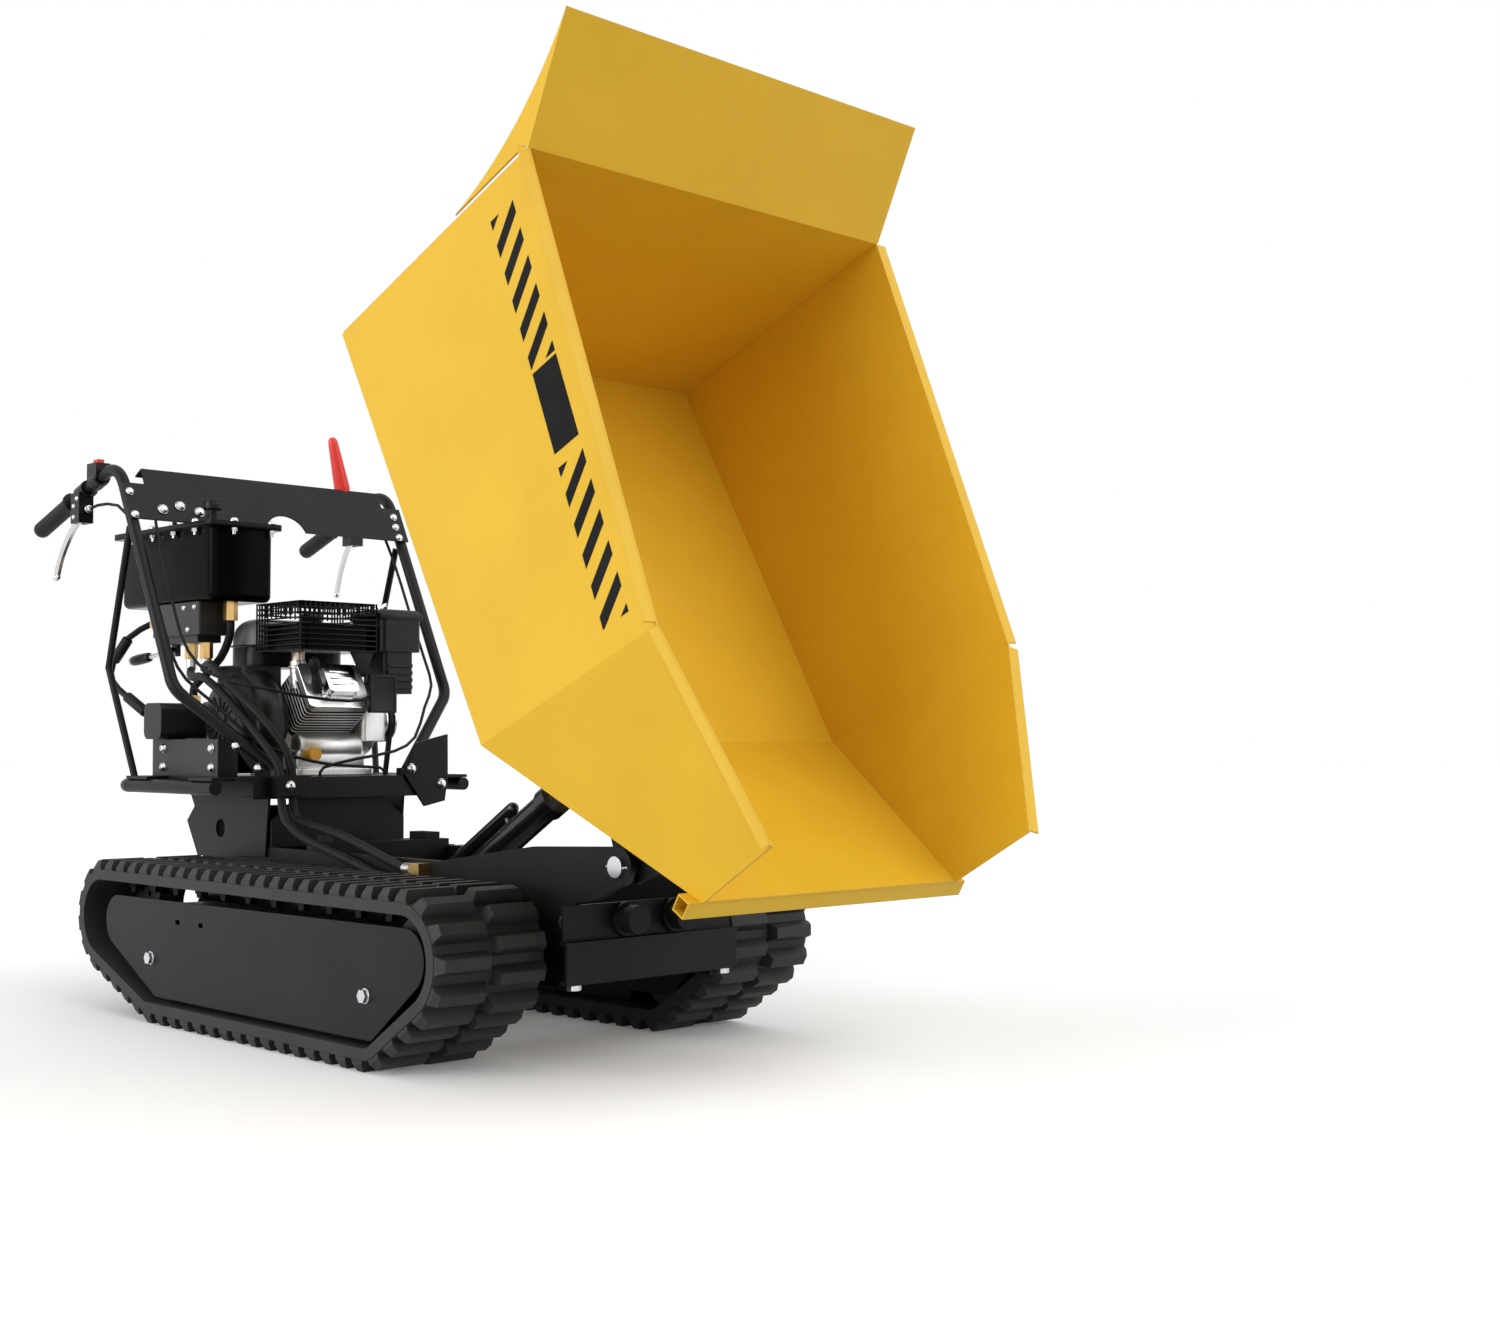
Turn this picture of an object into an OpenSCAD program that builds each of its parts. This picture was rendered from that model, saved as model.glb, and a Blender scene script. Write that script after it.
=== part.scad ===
// Tracked power carrier with a hydraulically tipped skip, modelled with the skip raised.
// Frame: +X is the way the carrier drives and tips, +Y is its left side, +Z is up, millimetres.
// Modules work from the middle of the ground contact; place() moves them to the box's own origin.

/* [Tracks] */
// Distance between the centre planes of the two tracks
track_gauge = 570; // [550:5:620]
// Width of each rubber track
track_w = 200; // [180:2:220]
// Thickness of the rubber band under the lugs
belt_t = 18; // [14:1:22]
// Height of a tread lug
lug_h = 19; // [10:1:24]
// Wanted distance from one lug to the next
lug_pitch = 45; // [38:1:60]
// Length of a lug at its foot
lug_len = 30; // [24:1:34]
// Running radius of the sprocket and the idler
wheel_r = 68; // [62:1:72]
// Running radius of a road roller
roller_r = 40; // [34:1:44]
// Distance of the sprocket behind the middle of the ground contact
sprocket_back = 530; // [500:5:560]
// Distance of the idler ahead of the middle of the ground contact
idler_ahead = 445; // [420:5:470]
// Distance of each end roller from the middle of the ground contact
roller_reach = 345; // [300:5:350]
// Height of the sprocket and idler axles
wheel_z = 175; // [165:1:190]
// Number of teeth on the drive sprocket
sprocket_teeth = 9; // [7:1:12]
// Thickness of the outer cover plate
cover_t = 5; // [3:0.5:6]

/* [Chassis] */
// Distance between the outer faces of the two chassis side plates
chassis_w = 290; // [270:2:310]
// Thickness of the chassis side plates
chassis_t = 10; // [6:1:12]
// Height of the engine deck's upper face
deck_z = 431; // [425:1:450]
// Width of the engine deck
deck_w = 470; // [440:5:500]
// Diameter of the rear guard tube
guard_d = 26; // [20:1:30]
// Width of the front plate
front_w = 352; // [320:2:360]

/* [Skip] */
// Length of the flat floor
floor_len = 744; // [700:2:780]
// Width inside the skip
skip_w = 722; // [700:2:740]
// Thickness of the skip's sheet
sheet_t = 3; // [2:0.5:5]
// Height of the rear wall
rear_h = 505; // [460:5:540]
// Horizontal run of the front ramp
ramp_run = 354; // [320:2:380]
// Rise of the front ramp
ramp_rise = 199; // [170:1:220]
// Bend of the front side panels towards the middle, in degrees
nose_bend = 17.6; // [12:0.2:20]
// Width of the folded rim
rim_w = 22; // [14:1:26]
// Length of the headboard flap
headboard_len = 195; // [150:5:220]
// Side of the square tube under the front lip
lip_side = 25; // [20:1:30]
// Tilt of the raised skip, in degrees
tip_angle = 60; // [50:0.5:62]

/* [Tipping gear] */
// Distance of the skip hinge ahead of the middle of the ground contact
pivot_ahead = 655; // [645:1:665]
// Height of the skip hinge
pivot_z = 312; // [305:1:318]
// Diameter of the skip hinge pins
pivot_d = 24; // [18:1:28]
// Outer diameter of the cylinder barrel
barrel_d = 50; // [44:1:56]
// Diameter of the piston rod
rod_d = 28; // [20:1:32]

/* [Controls] */
// Distance of each handlebar from the middle
bar_y = 302; // [285:1:315]
// Diameter of the handlebar tube
bar_d = 23; // [19:0.5:26]
// Outer diameter of a hand grip
grip_d = 33; // [29:0.5:37]
// Length of a hand grip
grip_len = 150; // [110:5:160]
// Height of the control panel along the handlebars
panel_h = 117; // [105:1:125]

/* [Engine and hydraulics] */
// Height of the crankshaft above the deck
crank_h = 107; // [100:1:115]
// Number of cooling fins on the cylinder
fin_count = 8; // [5:1:9]
// Length of the oil tank
tank_len = 380; // [340:5:400]
// Width of the oil tank
tank_w = 133; // [115:1:145]
// Height of the oil tank below its lid
tank_h = 145; // [120:1:155]
// Outer diameter of the pressure hoses
hose_d = 16; // [12:1:18]

/* [Hidden] */
$fn = 48;

// Distance from the middle of the ground contact to the origin of the part
origin_x = 53.665;
// Gap between pieces that move past one another, and radial gap of a running fit
gap = 0.5;
fit = 0.05;
// Amount by which a cut runs past the face that it opens
past = 1;
// Overlap of a tube's straight run with its bend, and how much stouter the bend is
bend_lap = 2.5;
bend_step = 0.3;
// Amount by which a straight edge lies inside the round end that it runs into
tuck = 0.08;

RIGHT = -1;
LEFT = 1;

black = "#26272a";
rubber = "#2f3032";
steel = "#c9ccd0";
zinc = "#b9bcc0";
yellow = "#f3c02c";
red = "#e2382f";
brass = "#c59a4e";
cast = "#b4b6b7";

// Placing and drawing helpers

module place() { translate([-origin_x, 0, 0]) children(); }

// Draws the children once on the right and once, mirrored, on the left
module both_sides() {
    children();
    mirror([0, 1, 0]) children();
}

module on_side(side) {
    if (side == RIGHT) children();
    else mirror([0, 1, 0]) children();
}

// Extrudes an outline in X and Z from one Y to another
module across(y0, y1) {
    translate([0, y1, 0]) rotate([90, 0, 0]) linear_extrude(y1 - y0) children();
}

// Extrudes an outline in Y and Z from one X to another
module lengthwise(x0, x1) {
    translate([x0, 0, 0]) rotate([90, 0, 90]) linear_extrude(x1 - x0) children();
}

module block(x, y, z) {
    translate([x[0], y[0], z[0]]) cube([x[1] - x[0], y[1] - y[0], z[1] - z[0]]);
}

// A box whose four upright edges are rounded
module soft_block(x, y, z, r) {
    translate([0, 0, z[0]]) linear_extrude(z[1] - z[0]) soft_rect(x, y, r);
}

module soft_rect(x, y, r) {
    for (i = [0, 1], j = [0, 1])
        translate([x[i] + (1 - 2 * i) * r, y[j] + (1 - 2 * j) * r]) circle(r);
    translate([x[0] + r, y[0]]) square([x[1] - x[0] - 2 * r, y[1] - y[0]]);
    translate([x[0], y[0] + r]) square([x[1] - x[0], y[1] - y[0] - 2 * r]);
}

// A round bar along Y
module bar_y_axis(x, z, y0, y1, r) {
    translate([x, y0, z]) rotate([-90, 0, 0]) cylinder(h = y1 - y0, r = r);
}

// A hexagonal nut or bolt head along Y, X or Z
module hex(across_flats, h) { cylinder(h = h, r = across_flats / sqrt(3), $fn = 6); }

function unit(v) = v / norm(v);

module rod_between(a, b, r) {
    d = b - a;
    translate(a) rotate([0, acos(d.z / norm(d)), atan2(d.y, d.x)]) cylinder(h = norm(d), r = r);
}

// Length that a bend takes from each of the straight runs that it joins
function bend_reach(a, b, c, bend) = bend * tan(acos(unit(b - a) * unit(c - b)) / 2);

// One bend of a tube at point b, from the run a to b into the run b to c
module tube_bend(a, b, c, bend, r) {
    u = unit(b - a);
    w = unit(c - b);
    turn = acos(u * w);
    m = unit(w - u * (u * w));
    k = cross(u, m);
    o = b - u * bend_reach(a, b, c, bend) + m * bend;
    multmatrix([
        [-m.x, u.x, k.x, o.x], [-m.y, u.y, k.y, o.y], [-m.z, u.z, k.z, o.z], [0, 0, 0, 1]
    ]) rotate_extrude(angle = turn) translate([bend, 0]) circle(r);
}

// A bent tube through the given corners; the straight runs reach a little into the bends
module tube_run(p, bend, r) {
    last = len(p) - 1;
    for (i = [0 : last - 1]) {
        u = unit(p[i + 1] - p[i]);
        head = i == 0 ? 0 : bend_reach(p[i - 1], p[i], p[i + 1], bend) - bend_lap;
        tail = i == last - 1 ? 0 : bend_reach(p[i], p[i + 1], p[i + 2], bend) - bend_lap;
        rod_between(p[i] + u * head, p[i + 1] - u * tail, r - bend_step);
    }
    for (i = [1 : last - 1]) tube_bend(p[i - 1], p[i], p[i + 1], bend, r);
}

// Smooth curve through a hose's route points
function curve_at(p, i, t) =
    let (
        a = p[max(i - 1, 0)],
        b = p[i],
        c = p[i + 1],
        d = p[min(i + 2, len(p) - 1)]
    )
    0.5 * (2 * b + (c - a) * t + (2 * a - 5 * b + 4 * c - d) * t * t
        + (3 * b - a - 3 * c + d) * t * t * t);

function curve(p, steps) = [
    for (i = [0 : len(p) - 2], k = [0 : steps - 1]) curve_at(p, i, k / steps),
    p[len(p) - 1]
];

// A ring's side direction is carried along the curve without twisting
function carried(v, dir) = unit(v - dir * (v * dir));

function ring_dirs(c) = [
    for (i = [0 : len(c) - 1]) unit(c[min(i + 1, len(c) - 1)] - c[max(i - 1, 0)])
];

function ring_sides(dirs, i, v) =
    i == len(dirs) ? [] : let (s = carried(v, dirs[i])) concat([s], ring_sides(dirs, i + 1, s));

// A closed skin over rings of points
module skin(points, sides) {
    n = len(points) / sides;
    walls = [
        for (i = [0 : n - 2], k = [0 : sides - 1])
            let (l = (k + 1) % sides, p = i * sides, q = p + sides)
            each [[p + k, q + k, q + l], [p + k, q + l, p + l]]
    ];
    ends = [[for (k = [0 : sides - 1]) k], [for (k = [sides - 1 : -1 : 0]) (n - 1) * sides + k]];
    polyhedron(points, concat(walls, ends), convexity = 10);
}

// A hose along its route
module hose(route, r, steps, sides = 10) {
    c = curve(route, steps);
    n = len(c);
    dirs = [
        unit(route[1] - route[0]),
        for (i = [1 : n - 2]) unit(c[i + 1] - c[i - 1]),
        unit(route[len(route) - 1] - route[len(route) - 2])
    ];
    side = ring_sides(dirs, 0, [0.31, 0.53, 0.79]);
    skin([
        for (i = [0 : n - 1], k = [0 : sides - 1])
            let (a = 360 * k / sides)
            c[i] + r * (cos(a) * side[i] + sin(a) * cross(dirs[i], side[i]))
    ], sides);
}

// Tracks

track_y = track_gauge / 2;
tread = belt_t + lug_h;
roller_z = tread + roller_r;

// The wheels that the band runs round, from the rear roller on past the front: x, z, radius
wheels = [
    [-roller_reach, roller_z, roller_r], [roller_reach, roller_z, roller_r],
    [idler_ahead, wheel_z, wheel_r], [-sprocket_back, wheel_z, wheel_r]
];
wheel_count = len(wheels);

function next(i) = (i + 1) % wheel_count;
function mid(w, i) = [w[i].x, w[i].y];
function wheel_xz(i) = mid(wheels, i);
function leg_of(w, i) = mid(w, next(i)) - mid(w, i);
function leg(i) = leg_of(wheels, i);

// Angle of the outward normal of the straight run that leaves circle i of a loop
function normal_of(w, i) =
    let (d = leg_of(w, i))
    atan2(d.y, d.x) - acos((w[i].z - w[next(i)].z) / norm(d));
function run_normal(i) = normal_of(wheels, i);

function run_len(i) = sqrt(norm(leg(i)) ^ 2 - (wheels[i].z - wheels[next(i)].z) ^ 2);
function wrap(i) = (run_normal(next(i)) - run_normal(i) + 720) % 360;
function ray(a) = [cos(a), sin(a)];
function arc_len(i, o) = (wheels[next(i)].z + o) * wrap(i) * PI / 180;
function loop_len(o, i = 0) =
    i == wheel_count ? 0 : run_len(i) + arc_len(i, o) + loop_len(o, i + 1);

// Place on the band at distance s along it, o outside its inner face: x, z, normal angle, and
// the radius of the bend there or 0 on a straight run
function on_band(s, o, i = 0) =
    let (
        a = run_normal(i),
        run = run_len(i),
        arc = arc_len(i, o),
        r = wheels[next(i)].z + o,
        turned = a + (s - run) / r * 180 / PI
    )
    s <= run ? [each (wheel_xz(i) + (wheels[i].z + o) * ray(a) + s * ray(a + 90)), a, 0]
    : s <= run + arc ? [each (wheel_xz(next(i)) + r * ray(turned)), turned, r]
    : on_band(s - run - arc, o, next(i));

// Outline of a band drawn tight round four circles, at a distance outside them
module loop_outline(w, o) {
    polygon([
        for (i = [0 : wheel_count - 1])
            each [
                mid(w, i) + (w[i].z + o - tuck) * ray(normal_of(w, i)),
                mid(w, next(i)) + (w[next(i)].z + o - tuck) * ray(normal_of(w, i))
            ]
    ]);
    for (c = w) translate([c.x, c.y]) circle(c.z + o, $fn = 96);
}

module band_outline(o) { loop_outline(wheels, o); }

lug_count = round(loop_len(belt_t) / lug_pitch);
lug_step = loop_len(belt_t) / lug_count;
lug_top = 0.6 * lug_len;
lug_gap = 8;
lug_slope = 7;
lug_root = 5;
lug_inset = 1;

// Height of a lug, less on a bend so that its edges stay on the tread's outline
function lug_rise(r) = r == 0 ? lug_h : sqrt((r + lug_h) ^ 2 - (lug_top / 2) ^ 2) - r;

// One tread lug on its own half of the band, rooted in the band's outer face
module lug(half, h) {
    foot = lug_len / 2 + (lug_len - lug_top) / 2 * lug_root / h;
    y = [half * lug_gap / 2, half * (track_w / 2 - lug_inset)];
    lean = half * lug_slope;
    intersection() {
        across(-track_w / 2, track_w / 2) polygon([
            [-foot, -lug_root], [foot, -lug_root], [lug_top / 2, h], [-lug_top / 2, h]
        ]);
        lengthwise(-lug_len, lug_len) polygon([
            [y[0] - lean / 4, -lug_root], [y[1], -lug_root], [y[1], h * 0.35],
            [y[1] - lean, h], [y[0] + lean, h]
        ]);
    }
}

horn_in = 14;
horn_w = 14;
horn_h = 24;
horn_len = 26;
horn_count = floor(lug_count / 2);
horn_step = loop_len(0) / horn_count;

// A pair of guide horns, which keep the band on its wheels
module horn_pair() {
    for (half = [-1, 1])
        translate([0, half * (horn_in + horn_w / 2), 0]) across(-horn_w / 2, horn_w / 2) polygon([
            [-horn_len / 2, 3], [horn_len / 2, 3], [horn_len / 2 - 6, -horn_h],
            [6 - horn_len / 2, -horn_h]
        ]);
}

module on_track(p) { translate([p.x, 0, p.y]) rotate([0, 90 - p.z, 0]) children(); }

// The lugs of one half of the band, the first of them a part of a step along it
module lug_row(half, from) {
    for (i = [0 : lug_count - 1]) {
        p = on_band((i + from) * lug_step, belt_t);
        on_track(p) lug(half, lug_rise(p[3]));
    }
}

module track_belt(side) {
    color(rubber) place() translate([0, side * track_y, 0]) {
        across(-track_w / 2, track_w / 2) difference() {
            band_outline(belt_t);
            band_outline(0);
        }
        lug_row(side, 0);
        lug_row(-side, 0.5);
        for (i = [0 : horn_count - 1]) on_track(on_band((i + 0.5) * horn_step, 0)) horn_pair();
    }
}

// Track wheels and the frame that carries them

rim_in = horn_in + horn_w + 4;
rim_out = rim_in + 28;
side_plate_t = 6;
side_gap = 2;
side_in = rim_out + side_gap;
axle_r = 8;
frame_top = 200;
frame_bottom = 60;
frame_back = sprocket_back - wheel_r - 30;
hub_r = 13;

// A wheel of two rims on a hub, with its bore along Y
module spool(r, bore, hub) {
    difference() {
        union() {
            for (half = [-1, 1])
                bar_y_axis(0, 0, half > 0 ? rim_in : -rim_out, half > 0 ? rim_out : -rim_in, r);
            bar_y_axis(0, 0, -rim_out, rim_out, hub);
        }
        bar_y_axis(0, 0, -rim_out - past, rim_out + past, bore);
    }
}

module road_roller(side, end) {
    color(black) place() translate([end * roller_reach, side * track_y, roller_z])
        spool(roller_r - gap, axle_r + fit, hub_r);
}

idler_hub_r = 30;

module idler(side) {
    color(black) place() translate([idler_ahead, side * track_y, wheel_z])
        spool(wheel_r - gap, axle_r + fit, idler_hub_r);
}

tooth_h = 16;
tooth_w = 22;
tooth_tip = 10;
sprocket_t = 20;
shaft_r = 15;
sprocket_hub_r = 32;

// The drive sprocket with its half shaft, which runs in the gearbox
module sprocket(side) {
    root = wheel_r - gap - tooth_h;
    color(black) place() translate([-sprocket_back, side * track_y, wheel_z]) {
        difference() {
            across(-sprocket_t / 2, sprocket_t / 2) {
                circle(root);
                for (i = [0 : sprocket_teeth - 1]) rotate(360 * i / sprocket_teeth) polygon([
                    [root - 6, -tooth_w / 2], [root, -tooth_w / 2],
                    [root + tooth_h - 0.5, -tooth_tip / 2], [root + tooth_h - 0.5, tooth_tip / 2],
                    [root, tooth_w / 2], [root - 6, tooth_w / 2]
                ]);
            }
            for (i = [0 : 4]) rotate([0, 72 * i, 0])
                bar_y_axis((root + sprocket_hub_r) / 2 - 2, 0, -sprocket_t, sprocket_t, 6);
        }
        bar_y_axis(0, 0, -sprocket_t, sprocket_t, sprocket_hub_r - 6);
        shaft_end = -side * (track_y - axle_tube_end + 40);
        bar_y_axis(0, 0, min(0, shaft_end), max(0, shaft_end), shaft_r);
    }
}

stud_r = 6;
stud_z = 114;
stud_x = [-348, 341];
cover_out = track_gauge / 2 + track_w / 2 - 10;
cover_in = cover_out - cover_t;

module frame_side_outline() {
    polygon([
        [-frame_back, frame_bottom + 30], [-roller_reach - 20, frame_bottom],
        [roller_reach + 25, frame_bottom], [idler_ahead + 20, wheel_z - 22],
        [idler_ahead + 20, frame_top], [-frame_back, frame_top]
    ]);
}

// Two side plates with the axles of the wheels, a top strip and a slide rail for the band
module track_frame(side) {
    color(black) place() translate([0, side * track_y, 0]) {
        for (half = [-1, 1]) {
            y = half > 0 ? [side_in, side_in + side_plate_t] : [-side_in - side_plate_t, -side_in];
            across(y[0], y[1]) frame_side_outline();
        }
        block([-frame_back, roller_reach - roller_r], [-side_in, side_in],
            [frame_top - side_plate_t, frame_top]);
        for (end = [-1, 1])
            bar_y_axis(end * roller_reach, roller_z, -side_in, side_in, axle_r);
        bar_y_axis(idler_ahead, wheel_z, -side_in, side_in, axle_r);
        for (half = [-1, 1])
            block([90 - roller_reach, roller_reach - 90],
                half > 0 ? [rim_in, side_in] : [-side_in, -rim_in], [tread + gap, frame_bottom + 12]);
        for (x = stud_x) {
            far = side * (cover_in - track_y);
            bar_y_axis(x, stud_z, min(far, side * side_in), max(far, side * side_in), stud_r + 4);
        }
    }
}

cover_slot = [16, 8];
cover_slot_x = [-253, -171];
cover_slot_z = 183;
cover_low = tread + 10;
cover_corner = 24;
cover_end = wheel_r - 22;

// Circles that the outline of an outer cover runs round, from the rear roller on past the front
cover_loop = [
    [-roller_reach + 18, cover_low + cover_corner, cover_corner],
    [roller_reach + 2, cover_low + cover_corner, cover_corner],
    [idler_ahead, wheel_z, cover_end + 2], [-sprocket_back + 50, wheel_z - 4, cover_end]
];

module track_covers() {
    color(black) place() both_sides() across(-cover_out, -cover_in) difference() {
        loop_outline(cover_loop, 0);
        for (x = cover_slot_x) translate([x, cover_slot_z]) {
            square([cover_slot.x - cover_slot.y, cover_slot.y], center = true);
            for (end = [-1, 1])
                translate([end * (cover_slot.x - cover_slot.y) / 2, 0]) circle(cover_slot.y / 2);
        }
        for (x = stud_x) translate([x, stud_z]) circle(stud_r + fit);
    }
}

// Chassis

side_y = chassis_w / 2;
side_yi = side_y - chassis_t;
chassis_back = 600;
chassis_front = pivot_ahead - 99;
chassis_low = 120;
arm_r = 30;
axle_tube_r = 28;
axle_tube_end = 178;
cross_side = 50;
cross_x = [-200, 250];
cross_z = 130;
pad_x = -200;
pad_t = 13;
rail_drop = 40;
pivot_drop = 55;
pad_top = pivot_z + pivot_drop - rail_drop - gap;
upper_cross = [pad_top - pad_t - cross_side, pad_top - pad_t];
trunnion_x = -30;
trunnion_z = 195;
trunnion_r = 12;
ear_in = 31;
ear_t = 8;
trunnion_run = [-36.8, 28.4];
trunnion_slack = 2.7;

module chassis_side_outline() {
    difference() {
        union() {
            polygon([
                [-chassis_back, chassis_low], [chassis_front, chassis_low], [chassis_front, 252],
                [pivot_ahead - 40, 262], [pivot_ahead, pivot_z - arm_r],
                [pivot_ahead, pivot_z + arm_r], [450, 334], [200, 300], [-chassis_back, 300]
            ]);
            translate([pivot_ahead, pivot_z]) circle(arm_r);
        }
        translate([pivot_ahead, pivot_z]) circle(pivot_d / 2 + fit);
        translate([-sprocket_back, wheel_z]) circle(axle_tube_r + gap);
        translate([spring_x, spring_z]) circle(spring_bolt_r + gap);
    }
}

// An ear with a long hole, in which the cylinder's trunnion floats
module trunnion_ear_outline() {
    foot = [trunnion_x, trunnion_z];
    head = foot + trunnion_run;
    slot_r = trunnion_r + trunnion_slack;
    edge = (slot_r - tuck) * unit([trunnion_run.y, -trunnion_run.x]);
    difference() {
        polygon([
            [head.x - 30, chassis_low + 8], [foot.x + 40, chassis_low + 8],
            [foot.x + 30, head.y + 6], [foot.x + 16, head.y + 28], [head.x - 30, head.y + 28]
        ]);
        for (p = [foot, head]) translate(p) circle(slot_r);
        polygon([foot + edge, head + edge, head - edge, foot - edge]);
    }
}

module chassis_frame() {
    color(black) place() {
        both_sides() across(-side_y, -side_yi) chassis_side_outline();
        for (x = cross_x) difference() {
            block([x, x + cross_side], [side_in + side_plate_t - track_y, track_y - side_in - side_plate_t],
                [cross_z, cross_z + cross_side]);
            block([x + 4, x + cross_side - 4], [-track_y, track_y], [cross_z + 4, cross_z + cross_side - 4]);
        }
        block([pad_x - 30, pad_x + 30], [-side_yi, side_yi], upper_cross);
        block([trunnion_x - 76, trunnion_x + 60], [-side_yi, side_yi], [chassis_low, chassis_low + 8]);
        both_sides() across(-ear_in - ear_t, -ear_in) trunnion_ear_outline();
        block([chassis_front - 46, chassis_front], [-side_yi, side_yi], [150, 190]);
    }
}

front_t = 6;
front_low = 131;
front_mid = 196;
front_high = 250;
front_deep = 19;

// Folded front plate with an upper plate that carries the rubber buffers
module front_plate() {
    color(black) place() {
        difference() {
            block([chassis_front, chassis_front + front_deep], [-front_w / 2, front_w / 2],
                [front_low, front_mid]);
            block([chassis_front - past, chassis_front + front_deep - front_t],
                [-front_w / 2 - past, front_w / 2 + past], [front_low + front_t, front_mid - front_t]);
        }
        block([chassis_front, chassis_front + front_t], [-front_w / 2 + 4, front_w / 2 - 4],
            [front_mid, front_high]);
    }
}

buffer_y = 50;
buffer_z = 224;
buffer_r = 22;
buffer_len = 34;
rail_y = 100;
rail_w = 30;

module rubber_buffers() {
    color(rubber) place() both_sides() {
        x0 = chassis_front + front_t;
        translate([x0, -buffer_y, buffer_z]) rotate([0, 90, 0]) {
            cylinder(h = buffer_len, r = buffer_r);
            cylinder(h = 8, r = buffer_r + 5);
        }
        block([pad_x - 28, pad_x + 28], [-rail_y - rail_w / 2, -rail_y + rail_w / 2],
            [pad_top - pad_t, pad_top]);
    }
}

ear_y = [rail_y + rail_w / 2, rail_y + rail_w / 2 + 8];
pin_head_t = 7;
pin_head_r = 16;
cotter_r = 2;

// The two skip hinge pins, each with a head outside and a split pin through it
module hinge_pins() {
    color(steel) place() both_sides() {
        bar_y_axis(pivot_ahead, pivot_z, -side_y, -ear_y[0] + 12, pivot_d / 2);
        bar_y_axis(pivot_ahead, pivot_z, -side_y - pin_head_t, -side_y, pin_head_r);
        translate([pivot_ahead, -side_y - 3, pivot_z]) rotate([0, 90, 0])
            translate([0, 0, -22]) cylinder(h = 48, r = cotter_r);
    }
}

spring_x = chassis_front - 21;
spring_z = 222;
spring_r = 7;
spring_bolt_r = 4.5;
wire_r = 1.4;
spring_y0 = wire_r + fit - side_yi;
spring_pitch = 5;
spring_turns = 16;
spring_rings = 8;
wire_sides = 6;

function spring_point(i) =
    let (a = 360 * i / spring_rings)
    [
        spring_x + spring_r * cos(a),
        spring_y0 + spring_pitch * i / spring_rings,
        spring_z + spring_r * sin(a)
    ];

spring_count = spring_turns * spring_rings;
spring_end = spring_y0 + spring_pitch * spring_turns + wire_r + fit;
echo(spring_self_gap = spring_pitch * cos(atan2(spring_pitch, 2 * PI * spring_r)) - 2 * wire_r);
spring_route = [for (i = [0 : spring_count]) spring_point(i)];
spring_dirs = ring_dirs(spring_route);

// Radial direction of a curl, which keeps the wire's sides from twisting
function spring_side(i) =
    let (a = 360 * i / spring_rings)
    carried([cos(a), 0, sin(a)], spring_dirs[i]);

module front_spring() {
    color(brass) place() skin([
        for (i = [0 : spring_count], k = [0 : wire_sides - 1])
            let (a = 360 * k / wire_sides, s = spring_side(i))
            spring_route[i] + wire_r * (cos(a) * s + sin(a) * cross(spring_dirs[i], s))
    ], wire_sides);
}

// Engine stand and rear guard

stand_t = 5;
deck_t = 6;
deck_back = 650;
deck_front = 300;
rail_h = 34;
rail_deep = 42;

module stand_side_outline() {
    difference() {
        polygon([
            [-640, deck_z - deck_t], [-640, 393], [-624, 370], [-654, 341], [-610, 274],
            [-352, 282], [-deck_front - rail_deep, deck_z - deck_t - rail_h],
            [-deck_front - rail_deep, deck_z - deck_t]
        ]);
        translate([input_x, input_z]) circle(input_r + 6 + gap);
    }
}

belt_slot_y = [side_y + stand_t + 3, side_y + stand_t + 39];
belt_slot_x = [-600, -404];

module engine_stand() {
    color(black) place() {
        both_sides() across(-side_y - stand_t, -side_y) stand_side_outline();
        difference() {
            block([-deck_back, -deck_front], [-deck_w / 2, deck_w / 2], [deck_z - deck_t, deck_z]);
            block(belt_slot_x, belt_slot_y, [deck_z - deck_t - past, deck_z + past]);
        }
        both_sides() for (x = tongue_x)
            block([x, x + tongue_len], [-guard_y - 8, -deck_w / 2], [deck_z - deck_t, deck_z]);
        difference() {
            block([-deck_front - rail_deep, -deck_front], [-deck_w / 2 + 30, deck_w / 2 - 30],
                [deck_z - deck_t - rail_h, deck_z - deck_t]);
            block([-deck_front - rail_deep - past, -deck_front - stand_t],
                [-deck_w / 2, deck_w / 2], [deck_z - deck_t - rail_h + stand_t, deck_z - deck_t - stand_t]);
        }
        lengthwise(-deck_front - rail_deep, -deck_front - rail_deep + stand_t) polygon([
            [-side_y, 300], [side_y, 300], [side_y, 350], [95, deck_z - deck_t - rail_h],
            [-95, deck_z - deck_t - rail_h], [-side_y, 350]
        ]);
    }
}

guard_z = deck_z - deck_t - guard_d / 2;
guard_back = 715;
guard_front = 315;
guard_y = 272;
guard_bend = 70;
tongue_x = [-deck_back, -400];
tongue_len = 85;

module rear_guard() {
    color(black) place() tube_run([
        [-guard_front, -guard_y, guard_z], [-guard_back, -guard_y, guard_z],
        [-guard_back, guard_y, guard_z], [-guard_front, guard_y, guard_z]
    ], guard_bend, guard_d / 2);
}

// Gearbox and belt drive

box_half = side_yi;
input_x = -520;
input_z = 330;
input_r = 11;
pulley_y = [side_y + stand_t + 8, side_y + stand_t + 32];
engine_pulley_r = 42;
gearbox_pulley_r = 62;
groove = 8;
crank_x = -460;
crank_z = deck_z + crank_h;

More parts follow.
